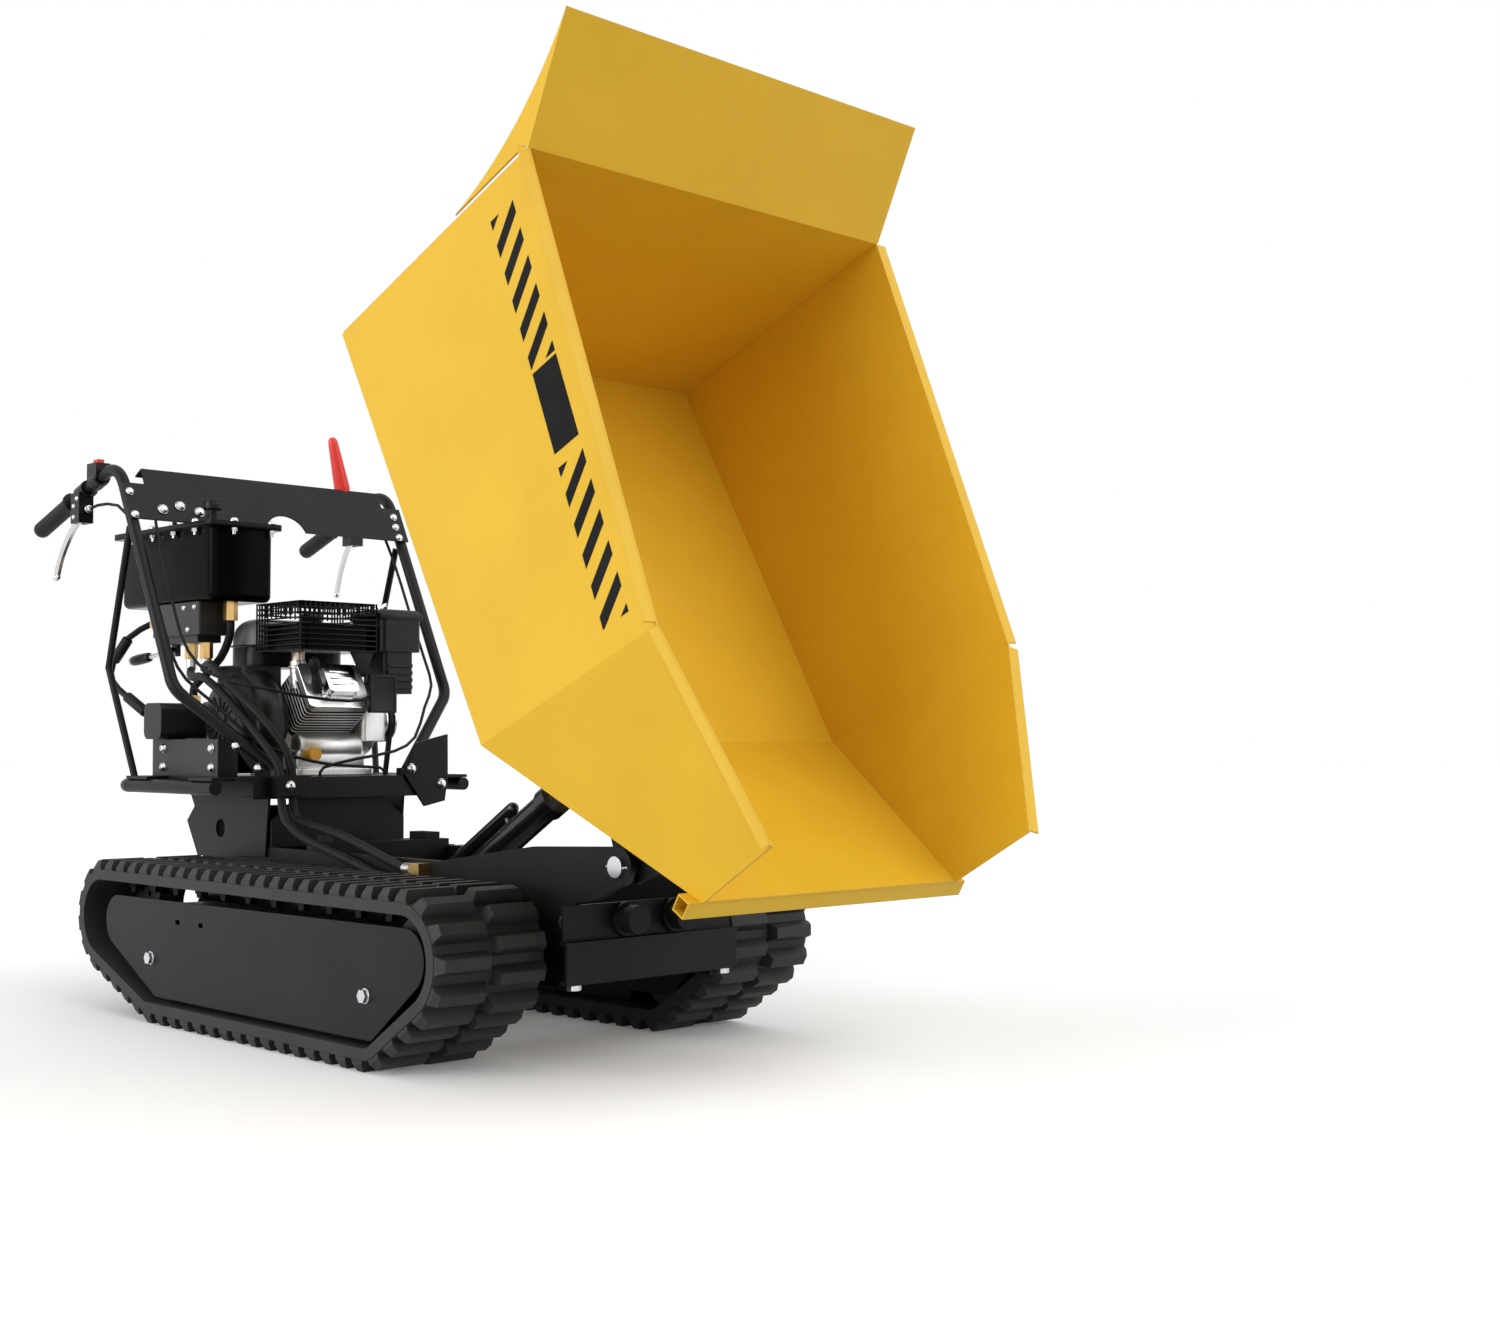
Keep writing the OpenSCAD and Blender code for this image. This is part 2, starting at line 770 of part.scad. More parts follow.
module gearbox() {
    color(black) place() difference() {
        union() {
            across(-box_half, box_half) {
                translate([-sprocket_back, wheel_z]) circle(62);
                translate([input_x, input_z]) circle(42);
                polygon([
                    [-sprocket_back - 62, wheel_z], [-sprocket_back + 62, wheel_z],
                    [input_x + 42, input_z], [input_x - 42, input_z]
                ]);
            }
            bar_y_axis(-sprocket_back, wheel_z, -axle_tube_end, axle_tube_end, axle_tube_r);
            bar_y_axis(input_x, input_z, 0, pulley_y[0] - 2, input_r + 6);
        }
        both_sides() bar_y_axis(-sprocket_back, wheel_z, -axle_tube_end - past,
            -axle_tube_end + 45, shaft_r + fit);
        bar_y_axis(input_x, input_z, pulley_y[0] - 30, pulley_y[1], input_r + fit);
    }
}

// A grooved pulley with its shaft, turning about Y
module pulley(r, shaft_from) {
    mid = (pulley_y[0] + pulley_y[1]) / 2;
    translate([0, mid, 0]) rotate([-90, 0, 0]) rotate_extrude() polygon([
        [0, pulley_y[0] - mid], [r, pulley_y[0] - mid], [r, -9], [r - groove, -5], [r - groove, 5],
        [r, 9], [r, pulley_y[1] - mid], [0, pulley_y[1] - mid]
    ]);
    bar_y_axis(0, 0, shaft_from, pulley_y[0], input_r);
}

module engine_pulley() {
    color(steel) place() translate([crank_x, 0, crank_z])
        pulley(engine_pulley_r, engine_y[1] - 20);
}

module gearbox_pulley() {
    color(steel) place() translate([input_x, 0, input_z])
        pulley(gearbox_pulley_r, pulley_y[0] - 25);
}

belt_rise = 1;
pulley_leg = [crank_x - input_x, crank_z - input_z];
pulley_gap = norm(pulley_leg);
belt_half = acos((gearbox_pulley_r - engine_pulley_r) / pulley_gap);
belt_dir = atan2(pulley_leg.y, pulley_leg.x);

module drive_loop(o) {
    big = gearbox_pulley_r - groove + o;
    small = engine_pulley_r - groove + o;
    in = [big - tuck, small - tuck];
    translate([input_x, input_z]) circle(big);
    translate([crank_x, crank_z]) circle(small);
    polygon([
        [input_x, input_z] + in[0] * ray(belt_dir + belt_half),
        [input_x, input_z] + in[0] * ray(belt_dir - belt_half),
        [crank_x, crank_z] + in[1] * ray(belt_dir - belt_half),
        [crank_x, crank_z] + in[1] * ray(belt_dir + belt_half)
    ]);
}

module drive_belt() {
    mid = (pulley_y[0] + pulley_y[1]) / 2;
    color(rubber) place() across(mid - 4.5, mid + 4.5) difference() {
        drive_loop(groove - belt_rise);
        drive_loop(gap);
    }
}

// Engine

engine_y = [-75, 85];
case_x = [-545, -375];
tilt = 33;
fin_t = 3.2;
fin_step = 9;
fin_from = 34;
fin_half = [68, 51];
core_half = [54, 40];
head_from = fin_from + fin_count * fin_step;
head_len = 16;
side_cover_y = 122;
side_cover_r = 74;
cover_len = 26;

// Children are drawn along the inclined cylinder, whose axis is X
module along_cylinder() {
    translate([crank_x, 0, crank_z]) rotate([0, -tilt, 0]) children();
}

port_top = 652;

// Crankcase with its foot, the finned cylinder and head, and the exhaust port
module engine_block() {
    color(cast) place() difference() {
        union() {
            across(engine_y[0], engine_y[1]) {
                translate([crank_x, crank_z]) circle(78);
                polygon([
                    [case_x[0], deck_z + 14], [case_x[1], deck_z + 14], [case_x[1], crank_z - 10],
                    [crank_x + 60, crank_z + 50], [crank_x - 60, crank_z + 50],
                    [case_x[0], crank_z - 10]
                ]);
            }
            bar_y_axis(crank_x, crank_z, engine_y[1] - 4, side_cover_y, side_cover_r);
            block(case_x + [-8, 8], engine_y + [0, 12], [deck_z, deck_z + 14]);
            along_cylinder() {
                block([0, head_from], [-core_half.x, core_half.x], [-core_half.y, core_half.y]);
                for (i = [0 : fin_count - 1]) {
                    x = fin_from + i * fin_step;
                    block([x, x + fin_t], [-fin_half.x, fin_half.x], [-fin_half.y, fin_half.y]);
                }
                lengthwise(head_from, head_from + head_len)
                    soft_rect([-fin_half.x, fin_half.x], [-fin_half.y, fin_half.y], 8);
            }
            translate([pipe_x, pipe_y, crank_z + 60]) cylinder(h = port_top - crank_z - 60, r = exhaust_r + 4);
        }
        bar_y_axis(crank_x, crank_z, engine_y[1] - 22, side_cover_y + past, input_r + fit);
    }
}

module valve_cover() {
    color(steel) place() along_cylinder() {
        lengthwise(head_from + head_len, head_from + head_len + 5) soft_rect([-38, 38], [-36, 36], 8);
        lengthwise(head_from + head_len + 5, head_from + head_len + cover_len)
            soft_rect([-33, 33], [-31, 31], 10);
    }
}

fan_r = 103;
fan_y = [-160, engine_y[0]];
starter_r = 78;
fan_top = 642;
fan_half = 70;

module fan_housing() {
    color(black) place() {
        across(fan_y[0], fan_y[1]) {
            translate([crank_x, crank_z]) circle(fan_r);
            translate([crank_x - fan_half, crank_z]) square([2 * fan_half, fan_top - crank_z]);
        }
        translate([crank_x, fan_y[0], crank_z]) rotate([90, 0, 0]) rotate_extrude() polygon([
            [0, 0], [starter_r + 8, 0], [starter_r, 14], [starter_r - 20, 22], [0, 22]
        ]);
    }
}

fuel_x = [-600, -494];
fuel_y = [-98, 112];
fuel_z = [fan_top, 738];

module fuel_tank() {
    color(black) place() {
        soft_block(fuel_x, fuel_y, [fuel_z[0], fuel_z[1] - 14], 26);
        soft_block(fuel_x + [10, -10], fuel_y + [10, -10], [fuel_z[1] - 14, fuel_z[1]], 20);
        translate([(fuel_x[0] + fuel_x[1]) / 2, 60, fuel_z[1]]) cylinder(h = 16, r = 22);
    }
}

guard_x = [-488, -324];
guard_yy = [-97, 73];
guard_zz = [669, 763];
muffler_top = 720;
guard_wall = 3;
muffler_inset = 9;
pipe_x = -400;
pipe_y = -56;
exhaust_r = 11;

module muffler() {
    color(black) place() {
        soft_block(guard_x + [muffler_inset, -muffler_inset], guard_yy + [muffler_inset, -muffler_inset],
            [guard_zz[0], muffler_top], 14);
        block(guard_x + [guard_wall, -guard_wall], guard_yy + [guard_wall, -guard_wall],
            [guard_zz[0], guard_zz[0] + guard_wall]);
        translate([pipe_x, pipe_y, port_top]) cylinder(h = guard_zz[0] - port_top, r = exhaust_r);
    }
}

mesh_step = 13;
mesh_bar = 3.5;
slat_step = 10;
slat_bar = 4.5;
slat_top = 0.6;

// A grille wall: slots below and a square mesh above, as an outline
module grille(w, h) {
    split = h * slat_top;
    cols = floor((w - mesh_bar) / mesh_step);
    rows = floor((h - split - mesh_bar) / mesh_step);
    slots = floor((split - slat_bar) / slat_step);
    margin = (w - cols * mesh_step + mesh_bar) / 2;
    difference() {
        square([w, h]);
        for (i = [0 : slots - 1])
            translate([margin, slat_bar + i * slat_step]) square([w - 2 * margin, slat_step - slat_bar]);
        for (i = [0 : cols - 1], j = [0 : rows - 1])
            translate([margin + i * mesh_step, split + j * mesh_step])
                square(mesh_step - mesh_bar);
    }
}

module mesh(w, d) {
    cols = floor((w - mesh_bar) / mesh_step);
    rows = floor((d - mesh_bar) / mesh_step);
    margin = [(w - cols * mesh_step + mesh_bar) / 2, (d - rows * mesh_step + mesh_bar) / 2];
    difference() {
        square([w, d]);
        for (i = [0 : cols - 1], j = [0 : rows - 1])
            translate(margin + mesh_step * [i, j]) square(mesh_step - mesh_bar);
    }
}

module muffler_guard() {
    size = [guard_x[1] - guard_x[0], guard_yy[1] - guard_yy[0], guard_zz[1] - guard_zz[0]];
    color(black) place() translate([guard_x[0], guard_yy[0], guard_zz[0]]) {
        for (x = [0, size.x - guard_wall]) lengthwise(x, x + guard_wall) grille(size.y, size.z);
        for (y = [0, size.y - guard_wall]) across(y, y + guard_wall) grille(size.x, size.z);
        translate([0, 0, size.z - guard_wall]) linear_extrude(guard_wall) mesh(size.x, size.y);
    }
}

air_x = [-430, -318];
air_y = [guard_yy[1] + 5, guard_yy[1] + 99];
air_z = [672, 748];
carb_x = [-404, -326];
carb_y = [90, 158];
carb_low = 590;
intake = [-364, 600];

module air_cleaner() {
    color(black) place() {
        soft_block(air_x, air_y, air_z, 12);
        soft_block(carb_x, carb_y, [carb_low, air_z[0]], 8);
        for (z = [carb_low + 10 : 14 : carb_low + 52])
            block([carb_x[1], carb_x[1] + 6], carb_y + [6, -6], [z, z + 7]);
        bar_y_axis(intake.x, intake.y, fin_half.x, carb_y[0] + 4, 12);
    }
}

module oil_filler_cap() {
    color("#d8a51d") place() translate([case_x[1], engine_y[0] + 24, deck_z + 42]) rotate([0, 90, 0]) {
        cylinder(h = 26, r = 9);
        translate([0, 0, 26]) cylinder(h = 8, r = 13);
    }
}

// Hydraulics

tank_front = -490;
tank_x = [tank_front - tank_len, tank_front];
tank_y = [-190, tank_w - 190];
lid_t = 8;
lid_over = 13;
panel_back = bar_d / 2;
panel_t = 3;
lean = 27.5;
bar_low = [-421, 594];
panel_from = 362;
lid_top = bar_low.y + panel_back * sin(lean) + panel_from * cos(lean);
tank_z = [lid_top - lid_t - tank_h, lid_top - lid_t];

module oil_tank() {
    color(black) place() difference() {
        union() {
            soft_block(tank_x, tank_y, tank_z, 16);
            soft_block(tank_x + lid_over * [-1, 1], tank_y + lid_over * [-1, 1],
                [tank_z[1] - 4, tank_z[1]], 12);
        }
        soft_block(tank_x + [3, -3], tank_y + [3, -3], [tank_z[0] + 3, tank_z[1] + past], 13);
    }
}

filler = [tank_front - 45, tank_y[0] + 24];

module tank_lid() {
    color(black) place() {
        soft_block(tank_x + lid_over * [-1, 1], tank_y + lid_over * [-1, 1], [tank_z[1], lid_top], 12);
        translate([filler.x, filler.y, lid_top]) {
            cylinder(h = 26, r = 9);
            translate([0, 0, 25]) cylinder(h = 16, r = 17);
        }
    }
}

valve_x = [-735, -545];
valve_y = [-188, -122];
valve_h = 78;
valve_z = [tank_z[0] - valve_h, tank_z[0]];
valve_pin = [valve_x[0] + 35, valve_y[0] + 23, valve_z[0] - 14];
valve_pin_r = 4;

module control_valve() {
    color(black) place() {
        soft_block(valve_x, valve_y, [valve_z[0] + 14, valve_z[1]], 6);
        block(valve_x + [18, -18], valve_y + [8, -8], [valve_z[0], valve_z[0] + 14]);
        for (y = [-14, 8]) block([valve_pin.x - 14, valve_pin.x + 14],
            [valve_pin.y + y, valve_pin.y + y + 6], [valve_pin.z - 9, valve_z[0]]);
        bar_y_axis(valve_pin.x, valve_pin.z, valve_pin.y - 14, valve_pin.y + 14, valve_pin_r);
    }
}

// Chrome lever with a knob, turning on the pin in the valve's fork
module valve_lever() {
    color(steel) place() translate(valve_pin) difference() {
        union() {
            bar_y_axis(0, 0, -7, 7, valve_pin_r + 5);
            rod_between([0, 0, 0], [-75, -10, -9], 5);
            rod_between([-72, -9.6, -8.6], [-132, -17.6, -15.8], 9);
        }
        bar_y_axis(0, 0, -8, 8, valve_pin_r + fit);
    }
}

pump_x = [-648, -578];
pump_y = [-246, -122];
pump_z = [deck_z + 70, deck_z + 140];
pump_block_x = [-646, -390];
pump_block_y = [-228, -187];

module gear_pump() {
    color(black) place() {
        block(pump_block_x, pump_block_y, [deck_z, pump_z[0]]);
        across(pump_y[0], pump_y[1]) soft_rect(pump_x, pump_z, 16);
        across(pump_y[1], pump_y[1] + 14) soft_rect(pump_x - [4, -4], pump_z - [4, -4], 12);
    }
}

port_low = valve_z[0] - 31;
ports = [[-615, -165], [-572, -156]];
inlet = [valve_x[0] - 24, -170, valve_z[0] + 44];
bulkhead_x = 150;
bulkhead_z = [252, 284];
bulkhead_y = -side_y - 11;
bulkhead_half = 11;
nipple_len = 12;
pump_top = pump_z[1] + 16;
pump_in = [-612, -160];
pump_out = [pump_x[0] - 16, -200, pump_z[0] + 37];
suction = [-523, -132];
breather = [-660, -90];
tank_port_h = 36;

// Hexagonal unions where the hoses meet the valve, pump, tank and chassis
module brass_fittings() {
    color(brass) place() {
        for (p = ports) translate([p.x, p.y, port_low]) hex(22, valve_z[0] - port_low);
        for (z = bulkhead_z) {
            block([bulkhead_x, bulkhead_x + 2 * bulkhead_half], [bulkhead_y - bulkhead_half, -side_y],
                [z - bulkhead_half, z + bulkhead_half]);
            translate([bulkhead_x - nipple_len, bulkhead_y, z]) rotate([0, 90, 0]) hex(18, nipple_len + 2);
        }
        translate([pump_in.x, pump_in.y, pump_z[1]]) hex(22, pump_top - pump_z[1]);
        translate(pump_out) rotate([0, 90, 0]) hex(22, pump_x[0] - pump_out.x);
        for (p = [suction, breather]) translate([p.x, p.y, tank_z[0] - tank_port_h]) hex(24, tank_port_h);
        translate(inlet) rotate([0, 90, 0]) hex(22, valve_x[0] - inlet.x);
    }
}

hose_r = hose_d / 2;
thin_hose_r = hose_r * 0.8;
suction_z = tank_z[0] - tank_port_h;
hose_end_x = bulkhead_x - nipple_len;
lift_route = [
    [ports[0].x, ports[0].y, port_low], [ports[0].x, ports[0].y, 642], [-592, -178, 626],
    [-545, -196, 620], [-490, -203, 618], [-405, -199, 574], [-340, -182, 516], [-300, -160, 462],
    [-289, -154, 428], [-288, -154, 390], [-270, -155, 352], [-200, -157, 322], [-98, -160, 300],
    [20, -160, 274], [hose_end_x - 24, bulkhead_y, bulkhead_z[0]], [hose_end_x, bulkhead_y, bulkhead_z[0]]
];
lower_route = [
    [ports[1].x, ports[1].y, port_low], [ports[1].x, ports[1].y, 644], [-546, -174, 638],
    [-490, -190, 644], [-405, -197, 602], [-340, -176, 550], [-302, -146, 494], [-290, -132, 446],
    [-288, -131, 392], [-268, -132, 354], [-180, -138, 342], [-80, -152, 330], [20, -157, 308],
    [hose_end_x - 24, bulkhead_y, bulkhead_z[1]], [hose_end_x, bulkhead_y, bulkhead_z[1]]
];
suction_route = [
    [suction.x, suction.y, suction_z], [suction.x, suction.y, 712], [-534, -131, 690], [-562, -131, 660],
    [-594, -142, 630], [pump_in.x, pump_in.y, 604], [pump_in.x, pump_in.y, pump_top]
];
pressure_route = [
    inlet, inlet - [20, 0, 0], [-802, -204, 706], [-834, -222, 654], [-822, -228, 618],
    [-775, -222, 588], [-715, -206, 552], pump_out - [20, 0, 0], pump_out
];

module hydraulic_hoses() {
    color(rubber) place() {
        hose(lift_route, hose_r, 2);
        hose(lower_route, hose_r, 2);
        hose(suction_route, hose_r, 2);
        hose(pressure_route, thin_hose_r, 2);
    }
}

// Handlebars and controls

bar_r = bar_d / 2;
bar_foot = [-322, -140, deck_z + 9];
bar_bend = 60;
bar_top = [-652, 1036];
bar_end = [-985, 930];
gusset_t = 6;

// Corners of the right handlebar, from its foot on the deck to the end of the grip
bar_path = [
    bar_foot,
    [bar_low.x, -bar_y, bar_low.y], [bar_top.x, -bar_y, bar_top.y], [bar_end.x, -bar_y - 6, bar_end.y]
];
foot_run = [bar_low.x - bar_foot.x, -bar_y - bar_foot.y];
foot_len = norm(foot_run);

foot_h = 14;
gusset_foot = 40;
gusset_end = 106;
clip_y = [-169, -100];
clip_z = [396, 434];
clip_deep = 24;
clip_t = 3;

// Hose clip on the deck's front rail at the right foot, and a plate in its place at the left foot
module foot_bracket(side) {
    x = -deck_front + clip_deep - clip_t;
    if (side == RIGHT) {
        block([x, x + clip_t], clip_y, clip_z);
        for (y = [clip_y[0], clip_y[1] - clip_t]) block([-deck_front, x + clip_t], [y, y + clip_t], clip_z);
    } else {
        lengthwise(-deck_front, -deck_front + gusset_t)
            polygon([[-118, 433], [-165, 370], [-212, 380], [-219, 426], [-218, 511], [-144, 494]]);
    }
}

// Bent tube with its foot and the gusset that is welded under its lower run
module handlebar(side) {
    slope = (bar_low.y - deck_z - foot_h / 2) / foot_len;
    color(black) place() on_side(side) {
        tube_run(bar_path, bar_bend, bar_r);
        translate([bar_foot.x, bar_foot.y, 0]) rotate([0, 0, atan2(foot_run.y, foot_run.x)])
            across(-gusset_t / 2, gusset_t / 2) polygon([
                [0, deck_z], [gusset_foot, deck_z],
                [gusset_end, bar_foot.z + gusset_end * slope - 4], [8, bar_foot.z + 8 * slope]
            ]);
        translate([bar_foot.x, bar_foot.y, deck_z]) cylinder(h = foot_h, r = bar_r + 8);
        foot_bracket(side);
    }
}

stay_r = 7;
stay_foot = [-632, -guard_y, deck_z];
stay_knee = [-694, -guard_y - 25, 640];
stay_top_z = 908;
stay_top = [
    bar_low.x - (stay_top_z - bar_low.y) * tan(lean) - (bar_r + stay_r) / cos(lean),
    -bar_y + 2,
    stay_top_z
];

module handlebar_stays() {
    color(black) place() both_sides() {
        difference() {
            rod_between(stay_foot - stay_r * unit(stay_knee - stay_foot), stay_knee, stay_r - bend_step);
            translate(stay_foot - [0, 0, 3 * stay_r]) cylinder(h = 3 * stay_r, r = 3 * stay_r);
        }
        rod_between(stay_knee, stay_top, stay_r - bend_step);
        translate(stay_knee) sphere(stay_r);
    }
}

// A point on the right handle's sloping end, at a distance from the tip
handle_dir = unit([bar_end.x - bar_top.x, -6, bar_end.y - bar_top.y]);
handle_tip = [bar_end.x, -bar_y - 6, bar_end.y];
function on_handle(d) = handle_tip - handle_dir * d;
grip_cap = 4;

module hand_grips() {
    color(rubber) place() both_sides() difference() {
        union() {
            rod_between(on_handle(-grip_cap), on_handle(grip_len), grip_d / 2);
            rod_between(on_handle(grip_len - 8), on_handle(grip_len), grip_d / 2 + 4);
        }
        rod_between(on_handle(0), on_handle(grip_len + past), bar_r + fit);
    }
}

perch_at = 205;
perch_mid = on_handle(perch_at);
lever_pin = [perch_mid.x - 6, perch_mid.y - 6, perch_mid.z - 52];
perch_y = [lever_pin.y - 15, lever_pin.y + 15];
lever_pin_r = 4;
lever_t = 13;

// Clamp on the handle with a fork for the hand lever
module lever_perches() {
    color(black) place() both_sides() difference() {
        union() {
            rod_between(on_handle(perch_at - 17), on_handle(perch_at + 17), bar_r + 6);
            block([perch_mid.x - 20, perch_mid.x + 16], perch_y, [lever_pin.z - 12, perch_mid.z - 4]);
        }
        rod_between(on_handle(perch_at - 30), on_handle(perch_at + 30), bar_r + fit);
        block([perch_mid.x - 24, perch_mid.x + 8],
            [lever_pin.y - lever_t / 2 - gap, lever_pin.y + lever_t / 2 + gap],
            [lever_pin.z - 14, lever_pin.z + 18]);
    }
    color(black) place() both_sides()
        bar_y_axis(lever_pin.x, lever_pin.z, perch_y[0], perch_y[1], lever_pin_r);
}

lever_r = 205;
lever_from = 125;
lever_to = 165;
lever_splay = 9;
lever_w = 7;

// Curved hand lever: an arc that leaves the fork rearwards and hangs away from the grip
module clutch_lever(side) {
    hub = -lever_r * ray(lever_from);
    tip = hub + lever_r * ray(lever_to);
    color(steel) place() on_side(side) translate(lever_pin) difference() {
        union() {
            bar_y_axis(0, 0, -lever_t / 2, lever_t / 2, lever_pin_r + 6);
            rotate([0, 0, lever_splay]) {
                across(-lever_w / 2, lever_w / 2) translate(hub) intersection() {
                    difference() {
                        circle(lever_r + 6, $fn = 96);
                        circle(lever_r - 6, $fn = 96);
                    }
                    polygon([[0, 0], 2 * lever_r * ray(lever_from), 2 * lever_r * ray(lever_to)]);
                }
                translate([tip.x, 0, tip.y]) sphere(8);
            }
        }
        bar_y_axis(0, 0, -lever_t, lever_t, lever_pin_r + fit);
    }
}

switch_at = 262;
switch_mid = on_handle(switch_at);
button_size = [20, 13];

module switch_box() {
    z0 = switch_mid.z + bar_r - 1;
    color(black) place() difference() {
        union() {
            rod_between(on_handle(switch_at - 14), on_handle(switch_at + 14), bar_r + 5);
            block([switch_mid.x - 20, switch_mid.x + 20], [switch_mid.y - 15, switch_mid.y + 15],
                [switch_mid.z, z0 + 22]);
        }
        rod_between(on_handle(switch_at - 40), on_handle(switch_at + 40), bar_r + fit);
        block([switch_mid.x - button_size.x / 2 - gap, switch_mid.x + button_size.x / 2 + gap],
            [switch_mid.y - button_size.y / 2 - gap, switch_mid.y + button_size.y / 2 + gap],
            [z0 + 12, z0 + 30]);
    }
}

module stop_button() {
    z0 = switch_mid.z + bar_r - 1;
    color(red) place()
        block([switch_mid.x - button_size.x / 2, switch_mid.x + button_size.x / 2],
            [switch_mid.y - button_size.y / 2, switch_mid.y + button_size.y / 2], [z0 + 16, z0 + 30]);
}

panel_half = 312;
panel_notch = [44, 36];
arch_mid = 21;
arch_r = 44;
arch_top = 37;
lip_deep = 24;
gate_y = 190;

// Children are drawn with Z along the sloping handlebar tubes and X towards the front
module on_bars() {
    translate([bar_low.x, 0, bar_low.y]) rotate([0, -lean, 0]) children();
}

module panel_outline() {
    difference() {
        square([2 * panel_half, panel_h]);
        for (x = [-past, 2 * panel_half - panel_notch.x])
            translate([x, panel_h - panel_notch.y]) square(panel_notch + [past, past]);
        translate([arch_mid + panel_half, arch_top - arch_r]) circle(arch_r);
    }
}

// Bent sheet across the handlebars, with a lip along its top and a foot on the tank's lid
module control_panel() {
    color(black) place() {
        on_bars() translate([panel_back, -panel_half, panel_from]) {
            lengthwise(0, panel_t) panel_outline();
            difference() {
                block([-lip_deep, panel_t], [panel_notch.x, 2 * panel_half - panel_notch.x],
                    [panel_h - panel_t, panel_h]);
                block([-lip_deep - past, -past], [panel_half + gate_y - 10, panel_half + gate_y + 10],
                    [panel_h - 10, panel_h + 10]);
            }
        }
        translate([bar_low.x + panel_back * cos(lean) - panel_from * sin(lean), 0, 0])
            block([0, 22], [tank_y[0], tank_y[1]], [lid_top, lid_top + panel_t]);
        for (y = [gate_y - 16, gate_y + 11]) on_bars()
            block([gate_pin.x - 11, panel_back], [y, y + 5], [gate_pin.y - 12, gate_pin.y + 12]);
    }
    color(black) place() on_bars() bar_y_axis(gate_pin.x, gate_pin.y, gate_y - 16, gate_y + 16, gate_pin_r);
}

gate_pin = [panel_back - 48, panel_from + 47];
gate_pin_r = 4;
gate_clear = 92;
gate_tilt = 13.6;

// Red lever that stands up behind the panel and swings fore and aft
module drive_lever() {
    color(red) place() on_bars() translate([gate_pin.x, gate_y, gate_pin.y]) difference() {
        union() {
            bar_y_axis(0, 0, -9, 9, gate_pin_r + 6);
            rotate([0, lean, 0]) {
                cylinder(h = gate_clear, r = 6);
                translate([0, 0, gate_clear - 4]) rotate([gate_tilt, 0, 0]) {
                    cylinder(h = 104, r1 = 11.5, r2 = 8.5);
                    translate([0, 0, 103]) sphere(8.4);
                }
            }
        }
        bar_y_axis(0, 0, -20, 20, gate_pin_r + fit);
    }
}

cable_r = 3;
perch_front = perch_mid.x + 16;
cable_routes = [
    [[perch_front, -310, 955], [perch_front + 18, -310, 955], [-715, -295, 962], [-640, -284, 930],
        [-530, -284, 770], [-470, -283, 665], [-430, -272, 612], [-395, -232, 566], [-352, -180, 505],
        [-330, -110, 470], [-322, -20, 452], [-338, 90, 446], [-338, 100, deck_z]],
    [[perch_front, 310, 955], [perch_front + 18, 310, 955], [-715, 293, 970], [-655, 284, 968],
        [-590, 284, 880], [-530, 284, 770], [-470, 283, 665], [-430, 272, 612], [-395, 232, 566],
        [-352, 180, 505], [-318, 110, 478], [-308, 20, 464], [-313, -50, 448], [-313, -58, deck_z]],
    [[-577, -262, lid_top], [-572, -262, 904], [-530, -264, 820], [-470, -264, 700], [-425, -250, 640],
        [-370, -218, 608], [-330, -160, 594], [-310, -85, 580], [-308, 0, 574], [-322, 60, 584],
        [-342, 80, 612], [-342, carb_y[0], 612]]
];

module control_cables() {
    color(rubber) place() for (route = cable_routes) hose(route, cable_r, 2, 8);
}

// Skip: drawn lowered, from the rear end of its floor's underside, and then tipped

skip_half = skip_w / 2;
pivot_along = 920;
rear_lean = 75;
crease_top = [796, 401];
nose_top = [1096, 356];
floor_front = [floor_len, 0];
rear_top = [rear_lean, rear_h];
lip_end = floor_front + [ramp_run, ramp_rise];
crease = crease_top - floor_front;
crease_lean = atan2(crease.x, crease.y);
ramp_slope = atan2(ramp_rise, ramp_run);

module in_skip() {
    translate([pivot_ahead, 0, pivot_z]) rotate([0, tip_angle, 0])
        translate([-pivot_along, 0, pivot_drop]) children();
}

// Frame of the crease in a side: X away from it, Y inwards from the outer face, Z along it
module on_crease() {
    translate([floor_front.x, -skip_half - sheet_t, floor_front.y])
        rotate([0, crease_lean, 0]) children();
}

nose_dir = [cos(nose_bend), sin(nose_bend)];
nose_in = [-sin(nose_bend), cos(nose_bend)];
sheet_reach = floor_len + 256;
nose_reach = ramp_run + 146;
inner_bend = [-sheet_t * tan(nose_bend / 2), sheet_t];

// Section of a side across its crease: the long panel and the front panel bent inwards
module side_section() {
    polygon([
        [-sheet_reach, 0], [0, 0],
        nose_reach * nose_dir,
        nose_reach * nose_dir + sheet_t * nose_in,
        inner_bend,
        [-sheet_reach, sheet_t]
    ]);
}

// Everything outside the inner faces of a side, as a section across its crease
module outside_section() {
    polygon([
        [-sheet_reach, sheet_t], [-sheet_reach, -nose_reach], [nose_reach, -nose_reach],
        nose_reach * nose_dir + sheet_t * nose_in,
        inner_bend
    ]);
}

module along_crease() {
    on_crease() translate([0, 0, -nose_reach]) linear_extrude(2 * nose_reach) children();
}

side_outline = [[0, 0], floor_front, lip_end, nose_top, crease_top, rear_top];
rim_gap = 3;
rim_set = 0.3;

// Distance of a point in front of the crease along the bent panel, and its height along the crease
function on_nose(p) =
    let (d = p - floor_front, c = unit(crease))
    [(d.x * c.y - d.y * c.x) / cos(nose_bend), d * c];

